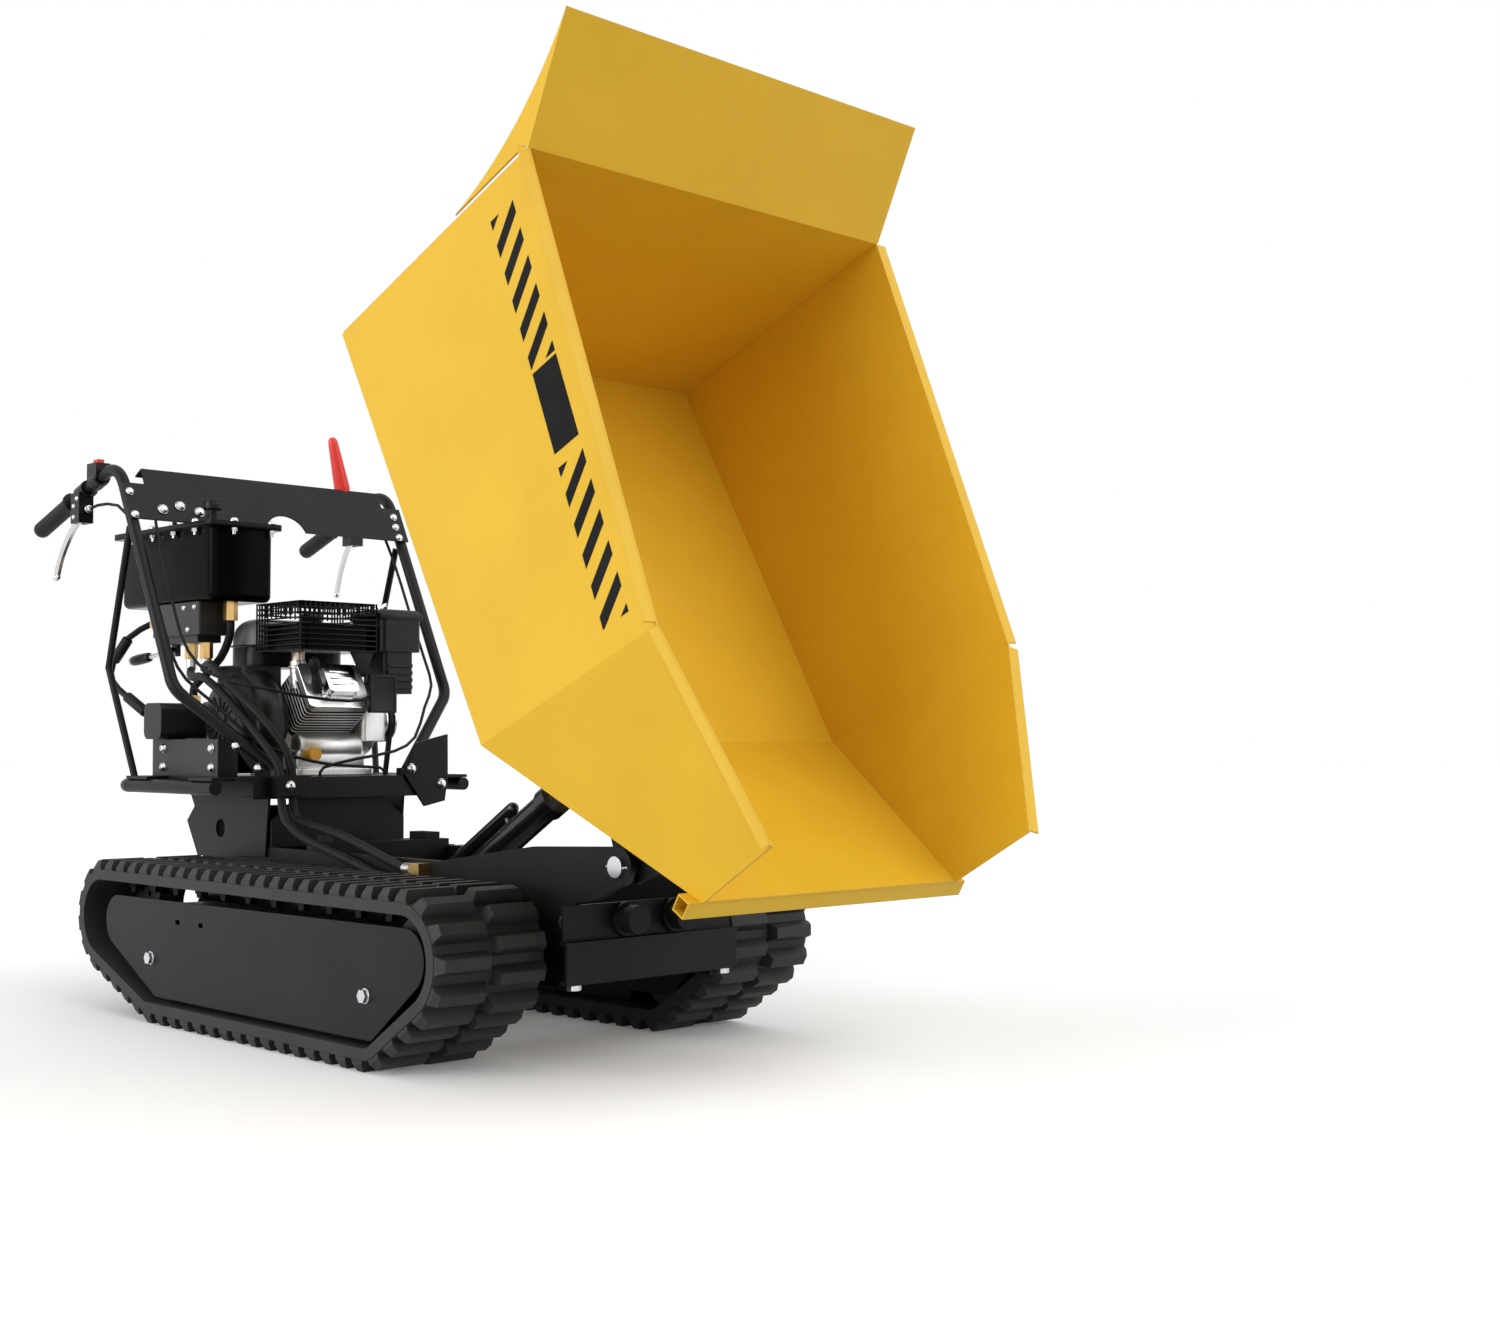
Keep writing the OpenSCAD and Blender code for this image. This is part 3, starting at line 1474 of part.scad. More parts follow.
// One side of the skip: a bent sheet with a folded rim along its top
module skip_side(side) {
    run = crease_top - rear_top;
    from = on_nose(crease_top);
    nose_run = on_nose(nose_top) - from;
    color(yellow) place() in_skip() on_side(side) {
        intersection() {
            across(-skip_half - nose_reach, nose_reach - skip_half) polygon(side_outline);
            along_crease() side_section();
        }
        translate([rear_top.x, -skip_half - rim_w, rear_top.y]) rotate([0, -atan2(run.y, run.x), 0])
            block([0, norm(run) - rim_gap], [0, rim_w - sheet_t / 2], [-sheet_t - rim_set, -rim_set]);
        on_crease() rotate([0, 0, nose_bend]) translate([from.x, 0, from.y])
            rotate([0, -atan2(nose_run.y, nose_run.x), 0])
            block([rim_gap, norm(nose_run) - rim_gap], [sheet_t - rim_w, sheet_t / 2],
                [-sheet_t - rim_set, -rim_set]);
    }
}

// The floor bends a little behind the creases of the sides
floor_bend = floor_front - [3, 0];

module skip_floor() {
    color(yellow) place() in_skip() {
        difference() {
            across(-skip_half - 20, skip_half + 20) polygon([
                [0, 0],
                floor_bend,
                lip_end,
                lip_end + sheet_t * [-sin(ramp_slope), cos(ramp_slope)],
                floor_bend + sheet_t * [-tan(ramp_slope / 2), 1],
                [0, sheet_t]
            ]);
            both_sides() along_crease() outside_section();
        }
        translate([lip_end.x, 0, lip_end.y]) rotate([0, -ramp_slope, 0]) difference() {
            block([-lip_side, -lip_back], [-lip_half, lip_half], [-lip_side, 0]);
            block([lip_wall - lip_side, -lip_wall - lip_back], [-lip_half - past, lip_half + past],
                [lip_wall - lip_side, -lip_wall]);
        }
    }
}

lip_wall = 2;
lip_back = 1;
lip_half = 284;
headboard_back = 34.7;
head_dir = [-sin(headboard_back), cos(headboard_back)];
head_top = rear_top + headboard_len * head_dir;
cheek_low = 0.64;
cheek_gap = 5;

// Rear wall with the headboard bent back from it and the two cheeks that stiffen the bend
module skip_rear_wall() {
    wall_dir = unit(rear_top);
    out = [-wall_dir.y, wall_dir.x];
    head_out = [-head_dir.y, head_dir.x];
    tip = cheek_low * rear_top + (cheek_gap + sheet_t) * out;
    cheek_in = rear_top + (cheek_gap + sheet_t) * out - 8 * wall_dir;
    chord = head_top - tip;
    bow = (tip + head_top) / 2 + 640 * unit([-chord.y, chord.x]);
    color(yellow) place() in_skip() {
        across(-skip_half - sheet_t / 2, skip_half + sheet_t / 2) polygon([
            [0, sheet_t],
            rear_top,
            head_top,
            head_top + sheet_t * head_out,
            rear_top + sheet_t * unit(out + head_out),
            sheet_t * out + [0, sheet_t]
        ]);
        both_sides() across(-skip_half - sheet_t, -skip_half) difference() {
            polygon([tip, cheek_in, rear_top + 2 * head_dir, head_top, head_top + sheet_t * head_out]);
            translate(bow) circle(norm(bow - tip) , $fn = 128);
        }
    }
}

rod_along = 674;
rod_drop = 40;
rod_pin_r = 10;
rod_ear_in = 17;
rod_ear_t = 8;

// Black frame welded under the skip: two rails, the hinge ears and the fork for the piston rod
module skip_subframe() {
    color(black) place() in_skip() {
        both_sides() {
            difference() {
                block([80, floor_len], [-rail_y - rail_w / 2, -rail_y + rail_w / 2], [-rail_drop, 0]);
                block([80 - past, floor_len + past], [-rail_y - rail_w / 2 + 3, -rail_y + rail_w / 2 - 3],
                    [3 - rail_drop, -3]);
            }
            across(-ear_y[1], -ear_y[0]) difference() {
                union() {
                    polygon([
                        [floor_len - 60, 0],
                        floor_front,
                        floor_front + 270 * [cos(ramp_slope), sin(ramp_slope)],
                        [pivot_along + arm_r, -pivot_drop], [pivot_along, -pivot_drop - arm_r + 4],
                        [floor_len - 60, -rail_drop]
                    ]);
                    translate([pivot_along, -pivot_drop]) circle(arm_r - 4);
                }
                translate([pivot_along, -pivot_drop]) circle(pivot_d / 2 + fit);
            }
            across(-rod_ear_in - rod_ear_t, -rod_ear_in) {
                polygon([
                    [rod_along - 40, 0], [rod_along + 40, 0], [rod_along + 18, -rod_drop],
                    [rod_along - 18, -rod_drop]
                ]);
                translate([rod_along, -rod_drop]) circle(18);
            }
        }
        bar_y_axis(rod_along, -rod_drop, -rod_ear_in - rod_ear_t - 5, rod_ear_in + rod_ear_t + 5, rod_pin_r);
    }
}

// Lift cylinder

// Skip point in the machine's frame at a given tilt
function tipped(p, a) =
    let (x = p.x - pivot_along, z = p.y + pivot_drop)
    [pivot_ahead + x * cos(a) + z * sin(a), pivot_z - x * sin(a) + z * cos(a)];

rod_eye = tipped([rod_along, -rod_drop], tip_angle);
trunnion = [trunnion_x, trunnion_z];
lift = rod_eye - trunnion;
lift_len = norm(lift);
lift_angle = atan2(lift.y, lift.x);
eye_down = tipped([rod_along, -rod_drop], 0);
down_len = norm(eye_down - trunnion);
barrel_len = down_len - 44;
bore_r = barrel_d / 2 - 5;
gland_len = 26;
piston_len = 30;
barrel_foot = 24;
pipe_r = 11;
pipe_off = 42;

// Children are drawn along the cylinder from its trunnion, with X towards the rod's eye
module on_lift() {
    translate([trunnion_x, 0, trunnion_z]) rotate([0, -lift_angle, 0]) children();
}

module x_bar(x0, x1, r) { translate([x0, 0, 0]) rotate([0, 90, 0]) cylinder(h = x1 - x0, r = r); }

module cylinder_barrel() {
    color(black) place() on_lift() {
        difference() {
            union() {
                x_bar(-barrel_foot, barrel_len, barrel_d / 2);
                x_bar(barrel_len - gland_len, barrel_len, barrel_d / 2 + 4);
                bar_y_axis(0, 0, -ear_in - ear_t - 6, ear_in + ear_t + 6, trunnion_r);
            }
            x_bar(barrel_foot, barrel_len - gland_len, bore_r);
            x_bar(barrel_foot, barrel_len + past, rod_d / 2 + fit);
        }
        translate([0, 0, pipe_off]) {
            x_bar(60, barrel_len - 115, pipe_r);
            translate([barrel_len - 115, 0, 0]) sphere(pipe_r);
            for (x = [80, barrel_len - 135]) translate([x, 0, -pipe_off + barrel_d / 2 - 3])
                cylinder(h = pipe_off - barrel_d / 2, r = 7);
        }
    }
}

module cylinder_rod() {
    inside = lift_len - barrel_len + gland_len + 12;
    color(steel) place() on_lift() difference() {
        union() {
            x_bar(lift_len - inside, lift_len, rod_d / 2);
            x_bar(lift_len - inside - piston_len, lift_len - inside, bore_r - fit);
            bar_y_axis(lift_len, 0, -rod_ear_in + gap, rod_ear_in - gap, rod_pin_r + 10);
        }
        bar_y_axis(lift_len, 0, -rod_ear_in - past, rod_ear_in + past, rod_pin_r + fit);
    }
}

// Fasteners that show

nut_flats = 19;
nut_h = 8;

lid_bolt_step = 86;
panel_bolts = [[-243, 387, 8], [-205, 398, 8], [-166, 388, 8], [-303, 422, 6], [-303, 370, 6],
    [291, 421, 6], [289, 396, 6], [290, 370, 6]];
plate_bolts = [[133, 444], [203, 414]];

// Places of the bolts round the tank's lid
lid_bolts = [
    for (i = [0 : 3], y = [tank_y[0] - lid_over / 2, tank_y[1] + lid_over / 2])
        [tank_front - 56 - i * lid_bolt_step, y],
    for (x = [tank_front + lid_over / 2, tank_x[0] - lid_over / 2], y = [tank_y[0] + 42, tank_y[1] - 10])
        [x, y]
];

module domed_head(r) {
    cylinder(h = 1.6, r = r + 1);
    translate([0, 0, 1]) cylinder(h = 5.4, r1 = r, r2 = r * 0.7);
}

module frame_bolts() {
    color(zinc) place() {
        for (p = lid_bolts) translate([p.x, p.y, 0]) {
            translate([0, 0, lid_top]) domed_head(7);
            translate([0, 0, tank_z[1] - 11]) hex(11, 7);
            translate([0, 0, tank_z[1] - 17]) cylinder(h = 8, r = 3.5);
        }
        on_bars() for (p = panel_bolts)
            translate([panel_back + panel_t, p.x, p.y]) rotate([0, 90, 0]) domed_head(p.z);
        translate([-deck_front + clip_deep, -143, 415]) rotate([0, 90, 0]) domed_head(8);
        for (p = plate_bolts)
            translate([-deck_front + gusset_t, p.x, p.y]) rotate([0, 90, 0]) domed_head(8);
    }
    color(zinc) place() both_sides() {
        for (x = stud_x) {
            translate([x, -cover_out, stud_z]) rotate([90, 0, 0]) {
                cylinder(h = 2, r = nut_flats * 0.62);
                translate([0, 0, 2]) hex(nut_flats, nut_h - 1);
            }
            bar_y_axis(x, stud_z, -cover_out, -cover_in, stud_r);
        }
        bar_y_axis(spring_x, spring_z, -side_y, spring_end + 3, spring_bolt_r);
        translate([spring_x, -side_y, spring_z]) rotate([90, 0, 0]) hex(nut_flats, nut_h);
        translate([spring_x, spring_end + 6, spring_z]) rotate([90, 0, 0]) hex(nut_flats, 6);
        translate([chassis_front + 9, -front_w / 2 + 22, front_low - nut_h]) hex(nut_flats, nut_h);
    }
}

chassis_frame();
front_plate();
rubber_buffers();
hinge_pins();
front_spring();
frame_bolts();
gearbox();
engine_stand();
rear_guard();
track_belt(RIGHT);  // right_track_belt
track_belt(LEFT);  // left_track_belt
track_covers();
track_frame(RIGHT);  // right_track_frame
track_frame(LEFT);  // left_track_frame
sprocket(RIGHT);  // right_sprocket
sprocket(LEFT);  // left_sprocket
idler(RIGHT);  // right_idler
idler(LEFT);  // left_idler
road_roller(RIGHT, 1);  // right_front_roller
road_roller(RIGHT, -1);  // right_rear_roller
road_roller(LEFT, 1);  // left_front_roller
road_roller(LEFT, -1);  // left_rear_roller
handlebar(RIGHT);  // right_handlebar
handlebar(LEFT);  // left_handlebar
handlebar_stays();
hand_grips();
lever_perches();
switch_box();
control_panel();
oil_tank();
tank_lid();
control_valve();
brass_fittings();
gear_pump();
hydraulic_hoses();
control_cables();
engine_block();
valve_cover();
fan_housing();
fuel_tank();
muffler();
muffler_guard();
air_cleaner();
oil_filler_cap();
engine_pulley();
gearbox_pulley();
drive_belt();
skip_floor();
skip_side(RIGHT);  // skip_right_side
skip_side(LEFT);  // skip_left_side
skip_rear_wall();
skip_subframe();
cylinder_barrel();
cylinder_rod();
clutch_lever(RIGHT);  // right_clutch_lever
clutch_lever(LEFT);  // left_clutch_lever
drive_lever();
valve_lever();
stop_button();
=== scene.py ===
"""Looks of a tracked power carrier with a tipping skip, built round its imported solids."""

import logging
import math
from collections.abc import Callable, Sequence
from dataclasses import dataclass, field
from enum import Enum

import bpy
from mathutils import Matrix, Vector

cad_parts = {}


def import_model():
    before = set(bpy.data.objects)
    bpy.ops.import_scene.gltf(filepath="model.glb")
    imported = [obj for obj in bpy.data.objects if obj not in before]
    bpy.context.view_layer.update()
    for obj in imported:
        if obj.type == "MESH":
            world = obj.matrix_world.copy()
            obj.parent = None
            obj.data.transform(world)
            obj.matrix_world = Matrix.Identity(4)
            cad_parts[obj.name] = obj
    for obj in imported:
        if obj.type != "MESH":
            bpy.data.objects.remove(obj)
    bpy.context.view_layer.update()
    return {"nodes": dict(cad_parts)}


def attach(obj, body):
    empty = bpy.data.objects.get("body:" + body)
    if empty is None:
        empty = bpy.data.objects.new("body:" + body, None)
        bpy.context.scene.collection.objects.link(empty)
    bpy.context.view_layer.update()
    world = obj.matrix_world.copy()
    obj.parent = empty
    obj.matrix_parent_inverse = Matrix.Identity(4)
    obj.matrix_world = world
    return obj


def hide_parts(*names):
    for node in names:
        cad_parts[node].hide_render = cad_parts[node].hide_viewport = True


LOG = logging.getLogger("carrier")
MM = 0.001
NEAR = 1e-6
CUT_GAP = 1e-7
SHORT_EDGE = 0.003
FACING = 0.9
ORIGIN_X = 53.665
SMOOTH_ANGLE = 38.0

Point = tuple[float, float, float]
Span = tuple[float, float]
Profile = tuple[Span, ...]
Colour = tuple[float, float, float]

AHEAD: Point = (1.0, 0.0, 0.0)
BACK: Point = (-1.0, 0.0, 0.0)
LEFT: Point = (0.0, 1.0, 0.0)
RIGHT: Point = (0.0, -1.0, 0.0)
UP: Point = (0.0, 0.0, 1.0)
DOWN: Point = (0.0, 0.0, -1.0)
MIRROR = Matrix.Scale(-1.0, 4, Vector(LEFT))
# Openness over which the painted shade in gaps fades back to the open colour.
GAP_OPENING: Span = (0.5, 0.95)


def local(x: float, y: float, z: float) -> Matrix:
    """Returns the move by some millimetres along each axis."""
    return Matrix.Translation(Vector((x, y, z)) * MM)


def at(x: float, y: float, z: float) -> Matrix:
    """Returns the move from the origin to a point of the carrier's drawing.

    Args:
        x: Millimetres ahead of the middle of the ground contact.
        y: Millimetres to the left.
        z: Millimetres up.

    Returns:
        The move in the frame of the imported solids, which is in metres.
    """
    return local(x - ORIGIN_X, y, z)


def stand_on(point: Sequence[float], out: Sequence[float]) -> Matrix:
    """Returns the matrix that stands an upright piece on a point.

    Args:
        point: The point of the carrier's drawing.
        out: The direction that the piece points to.

    Returns:
        The matrix.
    """
    return at(*point) @ Vector(out).to_track_quat("Z", "Y").to_matrix().to_4x4()


class Value:
    """A number on a node's output; arithmetic on it adds Math nodes."""

    def __init__(self, shader: "Shader", socket: bpy.types.NodeSocket) -> None:
        """Wraps one output socket of a shader."""
        self.shader = shader
        self.socket = socket

    def _maths(self, operation: str, other: object) -> "Value":
        """Adds one Math node.

        Args:
            operation: The Math node's operation.
            other: A value or a number.

        Returns:
            The node's result.
        """
        node = self.shader.add("ShaderNodeMath", {"operation": operation}, {0: self, 1: other})
        return Value(self.shader, node.outputs[0])

    def __add__(self, other: object) -> "Value":
        """Adds a value or number."""
        return self._maths("ADD", other)

    __radd__ = __add__

    def __mul__(self, other: object) -> "Value":
        """Multiplies by a value or number."""
        return self._maths("MULTIPLY", other)

    __rmul__ = __mul__


class Shader:
    """One material under construction."""

    def __init__(self, name: str) -> None:
        """Starts an empty node material.

        Args:
            name: The material's name.
        """
        self.material = bpy.data.materials.new(name)
        self.material.use_nodes = True
        self.tree = self.material.node_tree
        self.tree.nodes.clear()

    def add(self, kind: str, settings: dict | None = None, inputs: dict | None = None) -> bpy.types.Node:
        """Adds any node.

        Args:
            kind: The node's type.
            settings: Its settings, set before its sockets.
            inputs: Values or links of its sockets, by name or number.

        Returns:
            The new node.
        """
        node = self.tree.nodes.new(kind)
        for key, setting in (settings or {}).items():
            setattr(node, key, setting)
        for key, source in (inputs or {}).items():
            self.feed(node.inputs[key], source)
        return node

    def feed(self, socket: bpy.types.NodeSocket, source: object) -> None:
        """Gives a socket a link or a constant.

        Args:
            socket: The input socket.
            source: A value, an output socket or a constant.
        """
        if isinstance(source, Value):
            source = source.socket
        if isinstance(source, bpy.types.NodeSocket):
            self.tree.links.new(source, socket)
        elif isinstance(source, tuple) and len(source) == 3 and socket.type == "RGBA":
            socket.default_value = (*source, 1.0)
        else:
            socket.default_value = source

    def coordinates(self) -> bpy.types.NodeSocket:
        """Returns the piece's own coordinates."""
        return self.add("ShaderNodeTexCoord").outputs["Object"]

    def noise(self, scale: float, detail: float = 3.0, rough: float = 0.55) -> Value:
        """Adds a noise pattern.

        Args:
            scale: Waves to the metre.
            detail: Octaves.
            rough: Weight of the finer octaves.

        Returns:
            The noise, about 0.5 on average.
        """
        node = self.add("ShaderNodeTexNoise", {}, {
            "Vector": self.coordinates(), "Scale": scale, "Detail": detail, "Roughness": rough})
        return Value(self, node.outputs["Fac"])

    def ramp(self, value: Value, low: float, high: float) -> Value:
        """Spreads a part of a value's range over 0 to 1.

        Args:
            value: The value.
            low: What becomes 0.
            high: What becomes 1.

        Returns:
            The spread value, held between 0 and 1.
        """
        node = self.add("ShaderNodeMapRange", {"clamp": True}, {
            "Value": value, "From Min": low, "From Max": high, "To Min": 0.0, "To Max": 1.0})
        return Value(self, node.outputs["Result"])

    def mix(self, share: Value, first: object, second: object) -> bpy.types.NodeSocket:
        """Mixes two colours.

        Args:
            share: 0 for the first, 1 for the second.
            first: A colour or a colour socket.
            second: A colour or a colour socket.

        Returns:
            The mixed colour.
        """
        node = self.add("ShaderNodeMix", {"data_type": "RGBA"}, {0: share, 6: first, 7: second})
        return node.outputs[2]

    def relief(self, height: Value, depth: float, edge: float) -> bpy.types.NodeSocket:
        """Turns a height into a normal on softly rounded edges.

        Args:
            height: The relief, from 0 to 1.
            depth: Its depth in metres.
            edge: The radius of the edges in metres.

        Returns:
            The normal.
        """
        rounded = self.add("ShaderNodeBevel", {"samples": 4}, {"Radius": edge})
        bump = self.add("ShaderNodeBump", {}, {
            "Height": height, "Distance": depth, "Strength": 1.0, "Normal": rounded.outputs[0]})
        return bump.outputs[0]

    def shade_gaps(self, colour: bpy.types.NodeSocket, reach: float, gap_shade: float) -> bpy.types.NodeSocket:
        """Paints shade into the gaps of a piece: darkens the colour where little light reaches.

        Args:
            colour: The colour in the open.
            reach: The width of the gaps in metres, or 0 for none.
            gap_shade: The grey of the painted shade at the bottom of a gap.

        Returns:
            The colour.
        """
        if not reach:
            return colour
        node = self.add("ShaderNodeAmbientOcclusion", {"only_local": True, "samples": 8},
                        {"Distance": reach})
        openness = self.ramp(Value(self, node.outputs["AO"]), *GAP_OPENING)
        return self.mix(openness, (gap_shade, gap_shade, gap_shade), colour)

    def seen(self) -> Value:
        """Tells the rays that look at a thing from those that only carry light.

        Returns:
            1 for rays of the camera, of reflections and through glass, otherwise 0.
        """
        path = self.add("ShaderNodeLightPath").outputs
        looks = Value(self, path["Is Camera Ray"]) + Value(self, path["Is Glossy Ray"])
        return self.ramp(looks + Value(self, path["Is Transmission Ray"]), 0.0, 1.0)

    def surface(self, inputs: dict) -> bpy.types.Material:
        """Ends the material in a Principled surface.

        Args:
            inputs: Values or links of the surface's sockets.

        Returns:
            The finished material.
        """
        bsdf = self.add("ShaderNodeBsdfPrincipled", {}, inputs)
        self.add("ShaderNodeOutputMaterial", {}, {"Surface": bsdf.outputs[0]})
        return self.material


class Sky(Shader):
    """The light of the surroundings under construction."""

    def __init__(self, name: str) -> None:
        """Starts an empty world and puts it into the scene.

        Args:
            name: The world's name.
        """
        world = bpy.data.worlds.new(name)
        bpy.context.scene.world = world
        world.use_nodes = True
        self.tree = world.node_tree
        self.tree.nodes.clear()


@dataclass(frozen=True)
class Paint:
    """Baked powder coat with fine orange peel."""

    name: str
    colour: Colour
    rough: float
    peel: float = 0.00003
    edge: float = 0.0016
    cloud: float = 0.06
    gloss: float = 0.5
    broad_waves: float = 7.0
    peel_waves: float = 620.0
    scuff_waves: float = 38.0
    broad_range: Span = (0.3, 0.7)
    scuff_range: Span = (0.56, 0.78)
    scuff_rough: float = 0.08
    peel_rough: float = 0.05
    lift: float = 0.004

    def material(self) -> bpy.types.Material:
        """Builds the finish.

        Returns:
            The finish as a material.
        """
        s = Shader(self.name)
        broad = s.noise(self.broad_waves, 4.0)
        fine = s.noise(self.peel_waves, 2.0)
        scuff = s.ramp(s.noise(self.scuff_waves, 6.0, 0.7), *self.scuff_range)
        pale = tuple(min(1.0, c * (1 + self.cloud) + self.lift) for c in self.colour)
        deep = tuple(c * (1 - self.cloud) for c in self.colour)
        return s.surface({
            "Base Color": s.mix(s.ramp(broad, *self.broad_range), deep, pale),
            "Roughness": self.rough + scuff * self.scuff_rough + fine * self.peel_rough,
            "Normal": s.relief(fine, self.peel, self.edge),
            "Specular IOR Level": self.gloss,
        })


@dataclass(frozen=True)
class Rubber:
    """Moulded rubber with a dry bloom on it."""

    name: str
    colour: Colour
    rough: float = 0.62
    grain: float = 0.00008
    edge: float = 0.002
    bloom: Colour = (0.085, 0.084, 0.082)
    share: float = 0.4
    gloss: float = 0.45
    # gap and the grey after it paint shade into the gaps; a gap of 0 paints none.
    gap: float = 0.0
    gap_shade: float = 0.002
    grit_waves: float = 420.0
    bloom_waves: float = 16.0
    bloom_range: Span = (0.42, 0.75)
    grit_rough: float = 0.16

    def material(self) -> bpy.types.Material:
        """Builds the finish.

        Returns:
            The finish as a material.
        """
        s = Shader(self.name)
        grit = s.noise(self.grit_waves, 4.0, 0.7)
        patch = s.ramp(s.noise(self.bloom_waves, 5.0, 0.65), *self.bloom_range)
        bloomed = s.mix(patch * self.share, self.colour, self.bloom)
        return s.surface({
            # Painted shade: the colour darkens in the gaps.
            "Base Color": s.shade_gaps(bloomed, self.gap, self.gap_shade),
            "Roughness": self.rough + grit * self.grit_rough,
            "Normal": s.relief(grit, self.grain, self.edge),
            "Specular IOR Level": self.gloss,
        })


@dataclass(frozen=True)
class Metal:
    """Bare or plated metal with fine streaks."""

    name: str
    colour: Colour
    rough: float
    stain: Colour = (0.3, 0.29, 0.28)
    share: float = 0.2
    edge: float = 0.0008
    grain: float = 0.00001
    streak_waves: float = 260.0
    stain_waves: float = 45.0
    stain_range: Span = (0.5, 0.8)
    streak_rough: float = 0.1
    stain_rough: float = 0.1

    def material(self) -> bpy.types.Material:
        """Builds the finish.

        Returns:
            The finish as a material.
        """
        s = Shader(self.name)
        streak = s.noise(self.streak_waves, 3.0)
        patch = s.ramp(s.noise(self.stain_waves, 5.0, 0.6), *self.stain_range)
        return s.surface({
            "Base Color": s.mix(patch * self.share, self.colour, self.stain),
            "Metallic": 1.0,
            "Roughness": self.rough + streak * self.streak_rough + patch * self.stain_rough,
            "Normal": s.relief(streak, self.grain, self.edge),
        })


@dataclass(frozen=True)
class Casting:
    """Sand-cast or die-cast alloy with a grainy skin."""

    name: str
    colour: Colour
    rough: float
    metallic: float
    grain: float = 0.00018
    edge: float = 0.0022
    # gap and the grey after it paint shade into the gaps; a gap of 0 paints none.
    gap: float = 0.0
    gap_shade: float = 0.01
    sand_waves: float = 520.0
    stain_waves: float = 24.0
    stain_range: Span = (0.5, 0.8)
    stain_share: float = 0.6
    stain_shade: float = 0.62
    sand_rough: float = 0.15

    def material(self) -> bpy.types.Material:
        """Builds the finish.

        Returns:
            The finish as a material.
        """
        s = Shader(self.name)
        sand = s.noise(self.sand_waves, 4.0, 0.75)
        stain = s.ramp(s.noise(self.stain_waves, 6.0, 0.7), *self.stain_range)
        deep = tuple(c * self.stain_shade for c in self.colour)
        stained = s.mix(stain * self.stain_share, self.colour, deep)
        return s.surface({
            # Painted shade: the colour darkens in the gaps.
            "Base Color": s.shade_gaps(stained, self.gap, self.gap_shade),
            "Metallic": self.metallic,
            "Roughness": self.rough + sand * self.sand_rough,
            "Normal": s.relief(sand, self.grain, self.edge),
        })


@dataclass(frozen=True)
class Plastic:
    """Moulded plastic with a leather-like grain."""

    name: str
    colour: Colour
    rough: float
    grain: float = 0.00005
    edge: float = 0.0018
    gloss: float = 0.4
    grain_waves: float = 900.0
    wear_waves: float = 30.0
    wear_range: Span = (0.5, 0.8)
    wear_share: float = 0.5
    wear_shade: float = 1.3
    wear_lift: float = 0.002
    wear_rough: float = 0.1

    def material(self) -> bpy.types.Material:
        """Builds the finish.

        Returns:
            The finish as a material.
        """
        s = Shader(self.name)
        cells = s.add("ShaderNodeTexVoronoi", {"feature": "SMOOTH_F1"}, {
            "Vector": s.coordinates(), "Scale": self.grain_waves})
        grain = Value(s, cells.outputs["Distance"])
        wear = s.ramp(s.noise(self.wear_waves, 5.0, 0.65), *self.wear_range)
        pale = tuple(min(1.0, c * self.wear_shade + self.wear_lift) for c in self.colour)
        return s.surface({
            "Base Color": s.mix(wear * self.wear_share, self.colour, pale),
            "Roughness": self.rough + wear * self.wear_rough,
            "Normal": s.relief(grain, self.grain, self.edge),
            "Specular IOR Level": self.gloss,
        })


